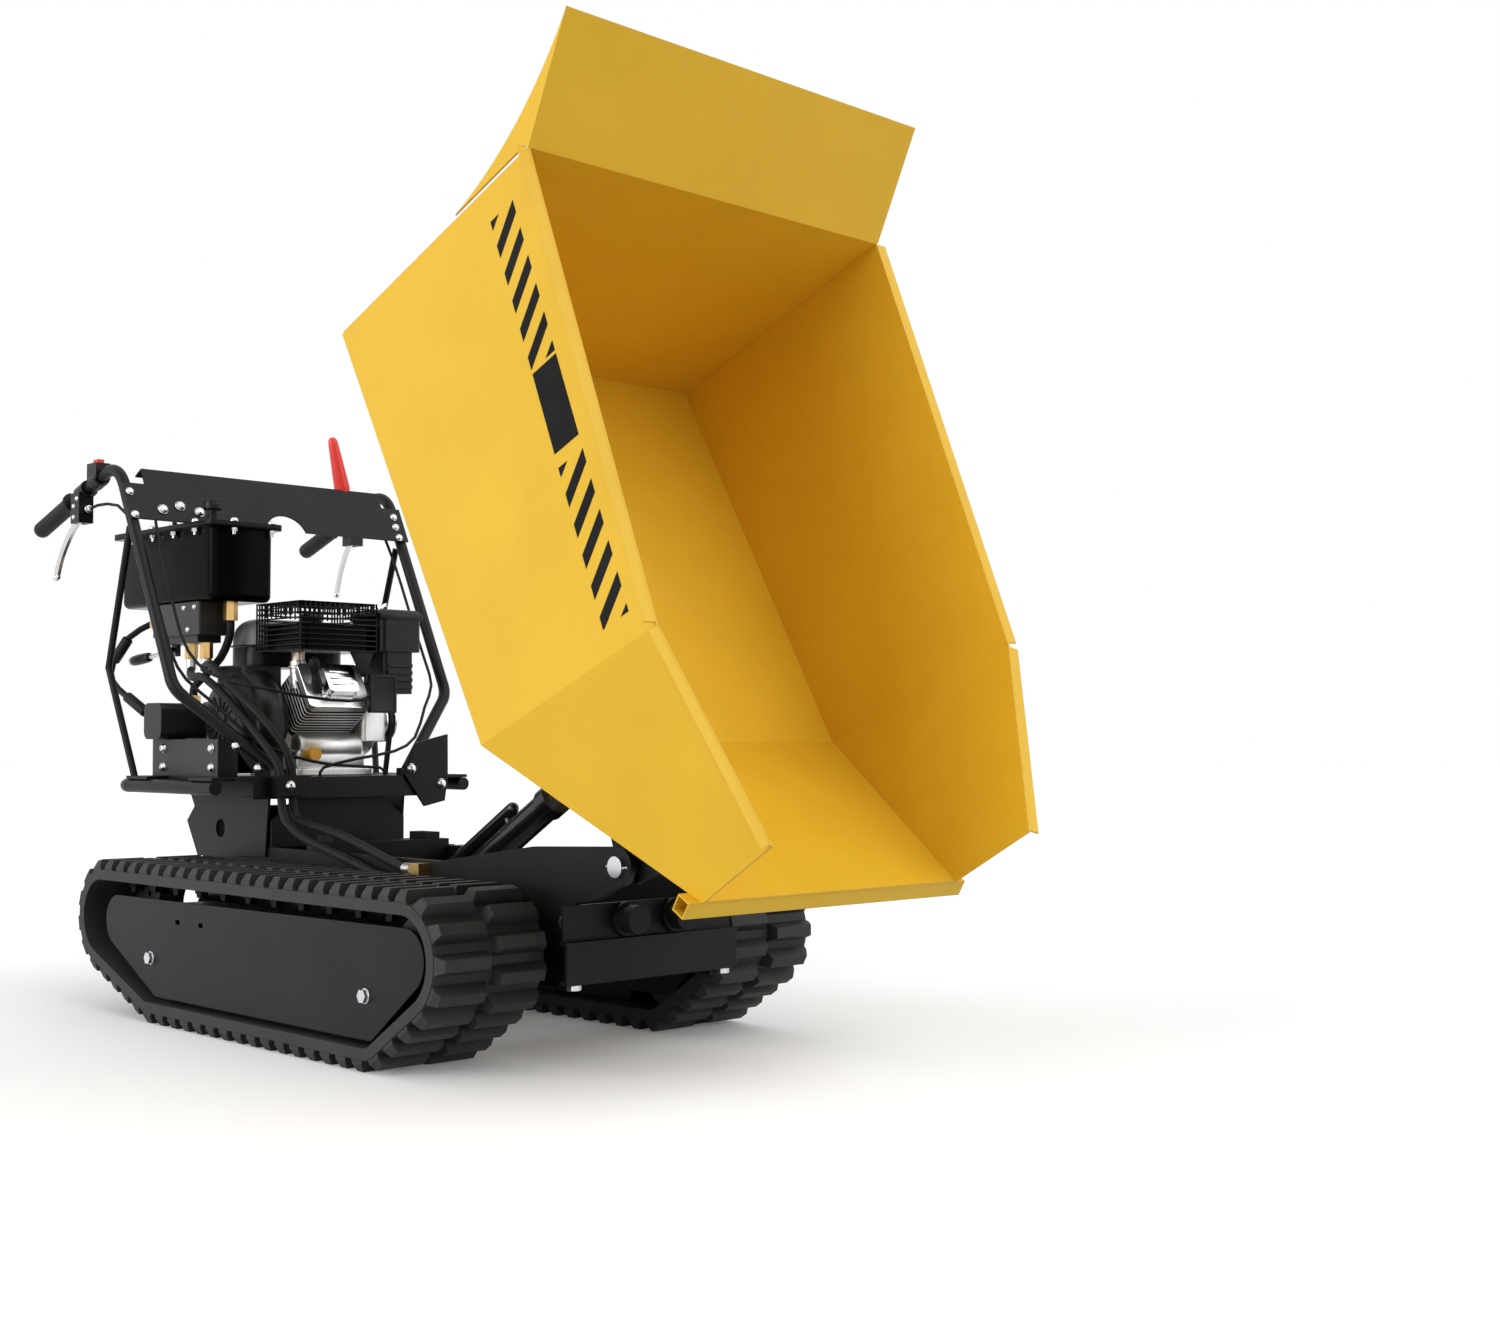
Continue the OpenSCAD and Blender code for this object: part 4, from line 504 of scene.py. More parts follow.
class Finish(Enum):
    """The finishes of the carrier, each with the record's material slot."""

    SKIP = ("skip_yellow", Paint("skip_paint", (0.75, 0.452, 0.022), 0.4, cloud=0.03, gloss=0.3))
    FRAME = ("black_paint", Paint("frame_paint", (0.004, 0.004, 0.0043), 0.38, cloud=0.12, gloss=0.17))
    # The tracks carry painted shade in the gaps between their lugs.
    TRACK = ("track_rubber", Rubber("track_rubber", (0.019, 0.019, 0.0195), 0.55,
                                    bloom=(0.04, 0.04, 0.04), gloss=0.36, gap=0.03))
    SOFT = ("soft_rubber", Rubber("hose_rubber", (0.006, 0.006, 0.0065), 0.46,
                                  bloom=(0.014, 0.014, 0.014), gloss=0.2))
    BRIGHT = ("bright_steel", Metal("bright_steel", (0.68, 0.69, 0.71), 0.1, share=0.12))
    ZINC = ("zinc", Metal("zinc_plate", (0.66, 0.67, 0.69), 0.24))
    GOLD = ("yellow_zinc", Metal("yellow_zinc", (0.72, 0.5, 0.16), 0.28))
    BRASS = ("brass", Metal("brass", (0.74, 0.5, 0.2), 0.26, stain=(0.3, 0.18, 0.07), share=0.35))
    ALLOY = ("cast_alloy", Casting("cast_alloy", (0.74, 0.74, 0.74), 0.3, 0.92))
    # The fins carry painted shade in the gaps between them.
    FIN = ("cast_alloy", Casting("fin_alloy", (0.82, 0.82, 0.81), 0.26, 0.94, grain=0.00004,
                                 edge=0.0003, gap=0.012))
    # Painted reflection: this grey stands in for the sky's sheen on the fuel tank's glossy black top.
    TIN = ("black_plastic", Paint("painted_sheen_grey", (0.3, 0.3, 0.305), 0.4, cloud=0.06, gloss=0.3))
    IRON = ("cast_iron", Casting("painted_casting", (0.006, 0.006, 0.0064), 0.4, 0.0))
    MOULDED = ("black_plastic", Plastic("moulded_black", (0.005, 0.005, 0.0054), 0.34, gloss=0.24))
    RED = ("red_plastic", Plastic("moulded_red", (0.74, 0.035, 0.025), 0.3))
    TANK = ("black_plastic", Plastic("tank_black", (0.0018, 0.0018, 0.0019), 0.2, grain=0.00001,
                                     gloss=0.04))
    PIPE = ("bright_steel", Metal("tinted_steel", (0.6, 0.5, 0.42), 0.3, stain=(0.34, 0.24, 0.17),
                                  share=0.5))
    OIL = ("oil_yellow", Plastic("moulded_yellow", (0.72, 0.36, 0.02), 0.34))
    GLOSS = ("black_paint", Paint("gloss_black", (0.004, 0.004, 0.0043), 0.16, cloud=0.1))
    FILM = ("black_paint", Paint("stripe_film", (0.008, 0.008, 0.0085), 0.42, edge=0.0004, gloss=0.06))

    def __init__(self, slot: str, look: Paint | Rubber | Metal | Casting | Plastic) -> None:
        """Keeps the slot and the look; the material is made on first use.

        Args:
            slot: The record's material slot.
            look: The look.
        """
        self.slot = slot
        self.look = look
        self.made: bpy.types.Material | None = None

    def material(self) -> bpy.types.Material:
        """Makes the material once.

        Returns:
            The finish's one material.
        """
        if self.made is None:
            self.made = self.look.material()
        return self.made


class Piece:
    """A piece modelled by hand from a start shape; sizes and moves are in millimetres."""

    def __init__(self, name: str) -> None:
        """Takes over the shape that was added last.

        Args:
            name: The piece's name.
        """
        self.obj = bpy.context.active_object
        self.obj.name = name
        self.obj.data.name = name

    @staticmethod
    def clear() -> None:
        """Leaves edit mode and deselects everything."""
        if bpy.context.object and bpy.context.object.mode != "OBJECT":
            bpy.ops.object.mode_set(mode="OBJECT")
        bpy.ops.object.select_all(action="DESELECT")

    @classmethod
    def plane(cls, name: str, size: Span) -> "Piece":
        """Adds a flat rectangle.

        Args:
            name: The piece's name.
            size: Its length and width.

        Returns:
            The rectangle, centred on the origin.
        """
        cls.clear()
        bpy.ops.mesh.primitive_plane_add(size=1.0)
        piece = cls(name)
        piece.settle((size[0] * MM, size[1] * MM, 1.0))
        return piece

    @classmethod
    def slab(cls, name: str, size: Sequence[float]) -> "Piece":
        """Adds a block.

        Args:
            name: The piece's name.
            size: Its length, width and height.

        Returns:
            The block, standing on the origin.
        """
        cls.clear()
        bpy.ops.mesh.primitive_cube_add(size=1.0, location=(0, 0, 0.5))
        piece = cls(name)
        bpy.ops.object.transform_apply(location=True)
        piece.settle(tuple(length * MM for length in size))
        return piece

    @classmethod
    def turned(cls, name: str, profile: Sequence[Span], sides: int = 28) -> "Piece":
        """Raises a round piece ring by ring.

        Args:
            name: The piece's name.
            profile: Radius and height of each ring, from the foot up.
            sides: Corners of a ring.

        Returns:
            The closed piece, upright on the origin.
        """
        (first, low), (radius, height), *rings = profile
        cls.clear()
        bpy.ops.mesh.primitive_cone_add(
            vertices=sides, radius1=first * MM, radius2=radius * MM, depth=(height - low) * MM,
            location=(0, 0, (low + height) / 2 * MM))
        piece = cls(name)
        piece.settle()
        rim = height * MM - NEAR
        piece.pick(lambda middle, out: out.z > FACING and middle.z > rim)
        for wide, up in rings:
            piece.extrude((0, 0, up - height))
            piece.widen((wide / radius, wide / radius, 1.0), (0, 0, up))
            radius, height = wide, up
        piece.smooth(SMOOTH_ANGLE)
        return piece

    def own(self) -> None:
        """Makes this the one selected object."""
        self.clear()
        self.obj.select_set(True)
        bpy.context.view_layer.objects.active = self.obj

    def settle(self, scale: Point = (1.0, 1.0, 1.0)) -> None:
        """Puts the object's place, turn and scale into its mesh.

        Args:
            scale: A scale to give it first.
        """
        self.own()
        self.obj.scale = scale
        bpy.ops.object.transform_apply(location=True, rotation=True, scale=True)

    def smooth(self, angle: float) -> None:
        """Leaves edit mode and shades smoothly.

        Args:
            angle: The angle in degrees past which an edge stays sharp.
        """
        self.own()
        bpy.ops.object.shade_smooth_by_angle(angle=math.radians(angle))

    def _unpicked(self, kind: str) -> bpy.types.Mesh:
        """Empties the selection of the mesh.

        Args:
            kind: What will be picked: VERT, EDGE or FACE.

        Returns:
            The mesh, in object mode, ready for code to pick its elements.
        """
        self.own()
        bpy.ops.object.mode_set(mode="EDIT")
        bpy.ops.mesh.select_mode(type=kind)
        bpy.ops.mesh.select_all(action="DESELECT")
        bpy.ops.object.mode_set(mode="OBJECT")
        return self.obj.data

    def pick(self, test: Callable[[Vector, Vector], bool]) -> None:
        """Enters edit mode with some faces picked.

        Args:
            test: Takes a face's middle and normal.
        """
        for face in self._unpicked("FACE").polygons:
            face.select = test(face.center, face.normal)
        bpy.ops.object.mode_set(mode="EDIT")

    def pick_points(self, test: Callable[[Vector], bool]) -> None:
        """Enters edit mode with some points picked.

        Args:
            test: Takes a point.
        """
        for vertex in self._unpicked("VERT").vertices:
            vertex.select = test(vertex.co)
        bpy.ops.object.mode_set(mode="EDIT")

    def round_edges(self, test: Callable[[Vector, Vector], bool], width: float, segments: int = 6) -> None:
        """Rounds some edges.

        Args:
            test: Takes the two ends of an edge.
            width: The rounding.
            segments: Steps of the rounding.
        """
        mesh = self._unpicked("EDGE")
        for edge in mesh.edges:
            edge.select = test(*(mesh.vertices[i].co for i in edge.vertices))
        bpy.ops.object.mode_set(mode="EDIT")
        bpy.ops.mesh.bevel(offset=width * MM, segments=segments, affect="EDGES")
        self.smooth(SMOOTH_ANGLE)

    def shift(self, by: Sequence[float]) -> None:
        """Moves what is picked."""
        bpy.ops.transform.translate(value=Vector(by) * MM)

    def inset(self, width: float) -> None:
        """Insets the picked faces."""
        bpy.ops.mesh.inset(thickness=width * MM)

    def extrude(self, by: Sequence[float]) -> None:
        """Extrudes the picked faces."""
        bpy.ops.mesh.extrude_region_move(TRANSFORM_OT_translate={"value": Vector(by) * MM})

    def widen(self, share: Point, about: Sequence[float]) -> None:
        """Scales what is picked about a point."""
        bpy.ops.transform.resize(value=share, center_override=Vector(about) * MM)

    def cut(self, place: Sequence[float], normal: Point) -> None:
        """Cuts away what lies on one side of a plane.

        Args:
            place: A point of the plane.
            normal: The direction of the side that goes.
        """
        self.own()
        bpy.ops.object.mode_set(mode="EDIT")
        bpy.ops.mesh.select_all(action="SELECT")
        bpy.ops.mesh.bisect(plane_co=Vector(place) * MM, plane_no=normal, clear_outer=True,
                            use_fill=False, threshold=CUT_GAP)
        bpy.ops.object.mode_set(mode="OBJECT")

    def soften(self, width: float, segments: int = 2, angle: float = 30.0) -> None:
        """Rounds the sharp edges.

        Args:
            width: The rounding.
            segments: Steps of the rounding.
            angle: The angle in degrees past which an edge counts as sharp.
        """
        self.own()
        mod = self.obj.modifiers.new("soften", "BEVEL")
        mod.width = width * MM
        mod.segments = segments
        mod.limit_method = "ANGLE"
        mod.angle_limit = math.radians(angle)
        bpy.ops.object.modifier_apply(modifier=mod.name)
        self.smooth(angle)

    def thicken(self, depth: float) -> None:
        """Gives a sheet a thickness along its normals.

        Args:
            depth: The thickness.
        """
        self.own()
        mod = self.obj.modifiers.new("thicken", "SOLIDIFY")
        mod.thickness = depth * MM
        mod.offset = 1.0
        bpy.ops.object.modifier_apply(modifier=mod.name)

    def repeat(self, count: int, step: Sequence[float]) -> None:
        """Repeats the mesh in a row.

        Args:
            count: How many stand in the row.
            step: The way from one to the next.
        """
        self.own()
        mod = self.obj.modifiers.new("row", "ARRAY")
        mod.count = count
        mod.use_relative_offset = False
        mod.use_constant_offset = True
        mod.constant_offset_displace = Vector(step) * MM
        bpy.ops.object.modifier_apply(modifier=mod.name)

    def place(self, matrix: Matrix) -> None:
        """Moves the mesh and keeps its faces pointing outwards.

        Args:
            matrix: The move, in metres.
        """
        self.clear()
        self.obj.data.transform(matrix)
        if matrix.determinant() < 0:
            self.obj.data.flip_normals()

    def copy(self) -> "Piece":
        """Copies the piece.

        Returns:
            The copy, with its own mesh.
        """
        self.own()
        bpy.ops.object.duplicate(linked=False)
        return Piece("copy")

    def scatter(self, matrices: Sequence[Matrix]) -> None:
        """Puts the piece and copies of it in several places, as one piece.

        Args:
            matrices: The places.
        """
        others = [self.copy() for _ in matrices[1:]]
        for piece, matrix in zip([self, *others], matrices):
            piece.place(matrix)
        self.join(others)

    def join(self, others: Sequence["Piece"]) -> None:
        """Takes other pieces into this one.

        Args:
            others: The other pieces.
        """
        self.own()
        for other in others:
            other.obj.select_set(True)
        if others:
            bpy.ops.object.join()

    def finish(self, body: str, finish: Finish) -> None:
        """Dresses the piece and lets it ride on a body.

        Args:
            body: The body that carries it.
            finish: Its finish.
        """
        self.clear()
        self.obj.data.materials.clear()
        self.obj.data.materials.append(finish.material())
        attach(self.obj, body)
        LOG.info("%s rides on %s", self.obj.name, body)


DOME: Profile = ((1.1, 0.0), (1.1, 0.22), (1.0, 0.26), (0.96, 0.5), (0.78, 0.76), (0.45, 0.9), (0.12, 0.95))


def dome(name: str, radius: float, seats: Sequence[Matrix]) -> Piece:
    """Makes washer-faced bolt heads with rounded tops.

    Args:
        name: The piece's name.
        radius: The radius of a head.
        seats: Where the heads sit.

    Returns:
        All the heads as one piece.
    """
    heads = Piece.turned(name, [(r * radius, h * radius) for r, h in DOME])
    heads.scatter(seats)
    return heads


def upright(a: Vector, b: Vector) -> bool:
    """Tells whether an edge stands upright."""
    return (a - b).length > SHORT_EDGE and abs(a.x - b.x) + abs(a.y - b.y) < NEAR


def lengthwise(a: Vector, b: Vector) -> bool:
    """Tells whether an edge runs ahead."""
    return abs(a.x - b.x) > SHORT_EDGE and abs(a.y - b.y) + abs(a.z - b.z) < NEAR


def top(middle: Vector, out: Vector) -> bool:
    """Tells whether a face looks up."""
    return out.z > FACING


def front(middle: Vector, out: Vector) -> bool:
    """Tells whether a face looks ahead."""
    return out.x > FACING


@dataclass
class Dressing:
    """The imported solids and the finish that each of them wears."""

    wear: dict[Finish, tuple[str, ...]] = field(default_factory=lambda: {
        Finish.SKIP: ("skip_floor", "skip_right_side", "skip_left_side", "skip_rear_wall"),
        Finish.TRACK: ("right_track_belt", "left_track_belt"),
        Finish.SOFT: ("rubber_buffers", "hand_grips", "hydraulic_hoses", "control_cables", "drive_belt"),
        Finish.BRIGHT: ("hinge_pins", "cylinder_rod", "right_clutch_lever", "left_clutch_lever",
                        "valve_lever", "valve_cover"),
        Finish.ZINC: ("frame_bolts", "engine_pulley", "gearbox_pulley"),
        Finish.GOLD: ("front_spring",),
        Finish.BRASS: ("brass_fittings",),
        Finish.ALLOY: ("engine_block",),
        Finish.IRON: ("gearbox", "gear_pump", "control_valve", "right_sprocket", "left_sprocket",
                      "right_idler", "left_idler", "right_front_roller", "right_rear_roller",
                      "left_front_roller", "left_rear_roller"),
        Finish.MOULDED: ("fan_housing", "fuel_tank", "air_cleaner", "switch_box", "lever_perches"),
        Finish.RED: ("drive_lever", "stop_button"),
        Finish.OIL: ("oil_filler_cap",),
        Finish.GLOSS: ("cylinder_barrel",),
        Finish.TANK: ("muffler",),
    })

    def dress(self, nodes: dict[str, bpy.types.Object]) -> None:
        """Gives each solid its material; what isn't listed is painted black.

        Args:
            nodes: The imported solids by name.
        """
        chosen = {name: finish for finish, names in self.wear.items() for name in names}
        for name, obj in nodes.items():
            material = chosen.get(name, Finish.FRAME).material()
            obj.data.materials.clear()
            obj.data.materials.append(material)
            LOG.info("%s wears %s", name, material.name)


@dataclass
class HazardStripes:
    """Black film on both sides of the skip: slanted bars and a plain rectangle below the rim."""

    rear_top: Span = (75.0, 505.0)
    front_top: Span = (796.0, 401.0)
    face: float = 364.0
    film: float = 0.35
    bar: float = 21.0
    step: float = 46.2
    slant: float = 40.0
    depth: float = 56.0
    below: float = 58.5
    drift: float = 0.0225
    groups: tuple[Span, ...] = ((48.0, 295.0), (448.0, 691.0))
    panel: Span = (300.0, 427.0)
    pivot: Span = (655.0, 312.0)
    pivot_local: Span = (920.0, -55.0)
    tip: float = 60.0

    def wall(self, side: int) -> Matrix:
        """Returns the matrix from the rim's flat drawing to one side of the skip.

        Args:
            side: -1 for the right side, 1 for the left.

        Returns:
            The matrix from the run along and below the rim to the shared frame.
        """
        run = (Vector(self.front_top) - Vector(self.rear_top)).normalized()
        down = Vector((run.y, 0.0, -run.x))
        along = (Vector((run.x, 0.0, run.y)) - down * self.drift).normalized()
        drop = Vector((along.z, 0.0, -along.x))
        out = Vector((0.0, side, 0.0))
        start = Vector((self.rear_top[0], 0.0, self.rear_top[1])) + down * self.below + out * self.face
        flat = local(*start) @ Matrix((along, drop, out)).transposed().to_4x4()
        lowered = local(-self.pivot_local[0], 0.0, -self.pivot_local[1])
        tipped = Matrix.Rotation(math.radians(self.tip), 4, "Y")
        return at(self.pivot[0], 0.0, self.pivot[1]) @ tipped @ lowered @ flat

    def bars(self, low: float, high: float) -> list[Piece]:
        """Cuts one group of slanted bars.

        Args:
            low: Where the group starts along the rim.
            high: Where it ends.

        Returns:
            The flat bars.
        """
        made = []
        start = low - self.step
        while start < high:
            bar = Piece.plane("bar", (self.bar, self.depth))
            bar.place(local(start + self.bar / 2, self.depth / 2, 0.0))
            bar.pick_points(lambda p: p.y > self.depth / 2 * MM)
            bar.shift((self.slant, 0.0, 0.0))
            bar.cut((low, 0.0, 0.0), BACK)
            bar.cut((high, 0.0, 0.0), AHEAD)
            made.append(bar)
            start += self.step
        return made

    def build(self) -> None:
        """Makes the film on both sides."""
        film = Piece.plane("stripe_film_right", (self.panel[1] - self.panel[0], self.depth))
        film.place(local(sum(self.panel) / 2, self.depth / 2, 0.0))
        film.join([bar for group in self.groups for bar in self.bars(*group)])
        film.thicken(self.film)
        left = film.copy()
        left.obj.name = left.obj.data.name = "stripe_film_left"
        film.place(self.wall(-1))
        left.place(self.wall(1))
        for piece in (film, left):
            piece.finish("skip", Finish.FILM)


@dataclass
class Grips:
    """Rubber grips with a rounded end and a thumb flange, in place of the plain sleeves."""

    tip: Point = (-985.0, -308.0, 930.0)
    along: Point = (333.0, 6.0, 106.0)
    radius: float = 16.6
    length: float = 150.0
    end: Profile = ((9.0, -4.0), (13.0, -3.4), (15.6, -1.2), (16.6, 3.0))
    groove: Profile = ((0.0, 0.0), (-0.5, 0.6), (-0.5, 1.8), (0.0, 2.4))
    step: float = 9.0
    first: float = 14.0
    last: float = 26.0
    flange: Profile = (
        (16.6, -11.0), (19.6, -8.6), (20.6, -6.0), (20.6, -2.0), (19.2, -0.4), (13.0, 0.0))
    sides: int = 36

    def profile(self) -> list[Span]:
        """Draws the rings of one grip.

        Returns:
            The rings from its outer end.
        """
        rings = list(self.end)
        low = self.first
        while low < self.length - self.last:
            rings += [(self.radius + deep, low + up) for deep, up in self.groove]
            low += self.step
        return rings + [(wide, self.length + up) for wide, up in self.flange]

    def build(self) -> None:
        """Makes both grips as one piece that stands for the plain ones."""
        grip = Piece.turned("rubber_grips", self.profile(), self.sides)
        right = stand_on(self.tip, self.along)
        grip.scatter([right, MIRROR @ right])
        grip.finish("carrier", Finish.SOFT)
        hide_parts("hand_grips")


@dataclass
class Levers:
    """Trim of the levers: cable adjusters, clamp screws and the knobs."""

    exit: Point = (-773.7, -310.0, 955.0)
    adjuster: Profile = (
        (5.2, 0.0), (5.2, 4.0), (7.4, 4.6), (7.8, 6.0), (7.8, 11.0), (7.2, 12.2), (4.8, 12.6), (4.8, 17.0),
        (3.6, 18.4), (3.4, 24.0))
    adjuster_sides: int = 20
    screws: tuple[Point, ...] = (
        (-796.0, -325.5, 962.0), (-782.0, -325.5, 976.0), (-795.7, -325.5, 940.2))
    screw: float = 4.2
    knob_foot: Point = (-770.0, -174.3, 667.0)
    knob_out: Point = (-60.0, -8.0, -7.2)
    knob: Profile = (
        (6.4, 0.0), (8.8, 1.2), (9.8, 5.0), (10.6, 18.0), (10.8, 36.0), (10.4, 52.0), (8.6, 60.0),
        (5.0, 63.6), (1.6, 64.6))
    gate_top: Point = (-642.2, 190.0, 1027.9)
    gate_lean: Point = (0.0, -0.2351, 0.972)
    drive: Profile = (
        (11.0, -7.0), (14.6, -5.0), (16.0, -1.0), (16.2, 6.0), (14.6, 34.0), (12.4, 68.0), (10.6, 96.0),
        (9.4, 105.0), (6.4, 110.0), (2.0, 112.0))
    drive_sides: int = 32

    def adjusters(self) -> None:
        """Makes the turned adjusters where the cables leave the clamps."""
        adjuster = Piece.turned("cable_adjusters", self.adjuster, self.adjuster_sides)
        right = stand_on(self.exit, AHEAD)
        adjuster.scatter([right, MIRROR @ right])
        adjuster.finish("carrier", Finish.BRIGHT)

    def clamp_screws(self) -> None:
        """Makes the screws of the clamps and the heads of the lever pins."""
        seats = [stand_on(p, RIGHT) for p in self.screws]
        screws = dome("clamp_screws", self.screw, seats + [MIRROR @ seat for seat in seats])
        screws.finish("carrier", Finish.BRIGHT)

    def knobs(self) -> None:
        """Makes the black knob of the valve lever and the red one of the drive lever."""
        valve = Piece.turned("valve_knob", self.knob)
        valve.place(stand_on(self.knob_foot, self.knob_out))
        valve.finish("valve_lever", Finish.MOULDED)
        drive = Piece.turned("drive_knob", self.drive, self.drive_sides)
        drive.place(stand_on(self.gate_top, self.gate_lean))
        drive.finish("drive_lever", Finish.RED)

    def build(self) -> None:
        """Makes all the trim."""
        self.adjusters()
        self.clamp_screws()
        self.knobs()


@dataclass
class HoseEnds:
    """Crimped ends and protecting sleeves on the hoses."""

    crimps: tuple[tuple[Point, Point], ...] = (
        ((-615.0, -165.0, 658.4), DOWN), ((-572.0, -156.0, 658.4), DOWN),
        ((138.0, -156.0, 252.0), BACK), ((138.0, -156.0, 284.0), BACK))
    crimp: Profile = (
        (9.0, 0.0), (10.2, 0.8), (10.2, 5.0), (9.0, 5.6), (9.0, 7.0), (10.2, 7.6), (10.2, 12.0),
        (9.0, 12.6), (9.0, 14.0), (10.2, 14.6), (10.2, 20.0), (8.4, 21.4))
    sleeves: tuple[tuple[Point, Point], ...] = (
        ((-803.0, -205.0, 704.0), (-832.0, -221.0, 659.0)),
        ((-772.0, -221.0, 586.5), (-718.0, -207.0, 554.0)))
    sleeve_end: Profile = ((7.0, 0.0), (9.8, 0.6), (10.8, 2.4))

    def sleeve(self, low: Point, high: Point) -> Piece:
        """Makes one sleeve.

        Args:
            low: Where it starts.
            high: Where it ends.

        Returns:
            The sleeve in its place.
        """
        run = Vector(high) - Vector(low)
        upper = [(r, run.length - h) for r, h in reversed(self.sleeve_end)]
        sleeve = Piece.turned("hose_sleeves", [
            *self.sleeve_end, (self.sleeve_end[-1][0], run.length / 2), *upper])
        sleeve.place(stand_on(low, run))
        return sleeve

    def build(self) -> None:
        """Makes the crimped ends and the sleeves."""
        crimp = Piece.turned("hose_crimps", self.crimp)
        crimp.scatter([stand_on(place, out) for place, out in self.crimps])
        crimp.finish("carrier", Finish.ZINC)
        first, *others = [self.sleeve(*ends) for ends in self.sleeves]
        first.join(others)
        first.finish("carrier", Finish.SOFT)


@dataclass
class Cylinder:
    """The engine's inclined cylinder: dark core, bright fins, head, and the valve cover's trim; the core's
    black is painted shade between the fins.
    """

    crank: Span = (-460.0, 538.0)
    tilt: float = 33.0
    core: Point = (106.0, 128.0, 94.0)
    core_round: float = 9.0
    fin: Point = (3.2, 136.0, 102.0)
    fin_round: float = 9.0
    fin_soft: float = 0.6
    fin_from: float = 35.6
    fin_step: float = 9.0
    fin_count: int = 8
    head: Point = (16.0, 136.0, 102.0)
    head_from: float = 114.0
    head_round: float = 10.0
    head_soft: float = 1.6
    flange: float = 127.0
    bolt: float = 5.0
    bolt_half: Span = (31.5, 29.5)
    face: float = 148.0
    rib: Point = (46.0, 5.0, 2.2)
    rib_soft: float = 1.2
    rib_up: tuple[float, ...] = (-14.0, 0.0, 14.0)

    def inclined(self) -> Matrix:
        """Returns the matrix from a cylinder that lies ahead to the inclined one."""
        turn = Matrix.Rotation(-math.radians(self.tilt), 4, "Y")
        return at(self.crank[0], 0.0, self.crank[1]) @ turn

    def valve_cover(self) -> None:
        """Makes the bolts and the pressed ribs of the valve cover."""
        y, up = self.bolt_half
        ahead = Vector(AHEAD).to_track_quat("Z", "Y").to_matrix().to_4x4()
        seats = [self.inclined() @ local(self.flange, side * y, rise * up) @ ahead
                 for side in (-1, 1) for rise in (-1, 1)]
        dome("valve_cover_bolts", self.bolt, seats).finish("carrier", Finish.ZINC)
        rib = Piece.slab("valve_cover_ribs", self.rib)
        rib.soften(self.rib_soft)
        flat = Matrix.Rotation(math.radians(90), 4, "Z") @ Matrix.Rotation(math.radians(90), 4, "X")
        rib.scatter([self.inclined() @ local(self.face, 0.0, up) @ flat for up in self.rib_up])
        rib.finish("carrier", Finish.BRIGHT)

    def barrel(self) -> None:
        """Makes the core, the fins and the head."""
        core = Piece.slab("cylinder", self.core)
        core.round_edges(lengthwise, self.core_round, 4)
        core.place(local(self.core[0] / 2, 0.0, -self.core[2] / 2))
        fins = Piece.slab("fin", self.fin)
        fins.round_edges(lengthwise, self.fin_round, 4)
        fins.soften(self.fin_soft, 1)
        fins.scatter([local(self.fin_from + i * self.fin_step, 0.0, -self.fin[2] / 2)
                      for i in range(self.fin_count)])
        head = Piece.slab("head", self.head)
        head.round_edges(lengthwise, self.head_round, 5)
        head.soften(self.head_soft)
        head.place(local(self.head_from, 0.0, -self.head[2] / 2))
        fins.join([head])
        # Painted shade: the core's dark iron colour shows as the dark gaps between the fins.
        for piece, finish in ((core, Finish.IRON), (fins, Finish.FIN)):
            piece.place(self.inclined())
            piece.finish("carrier", finish)


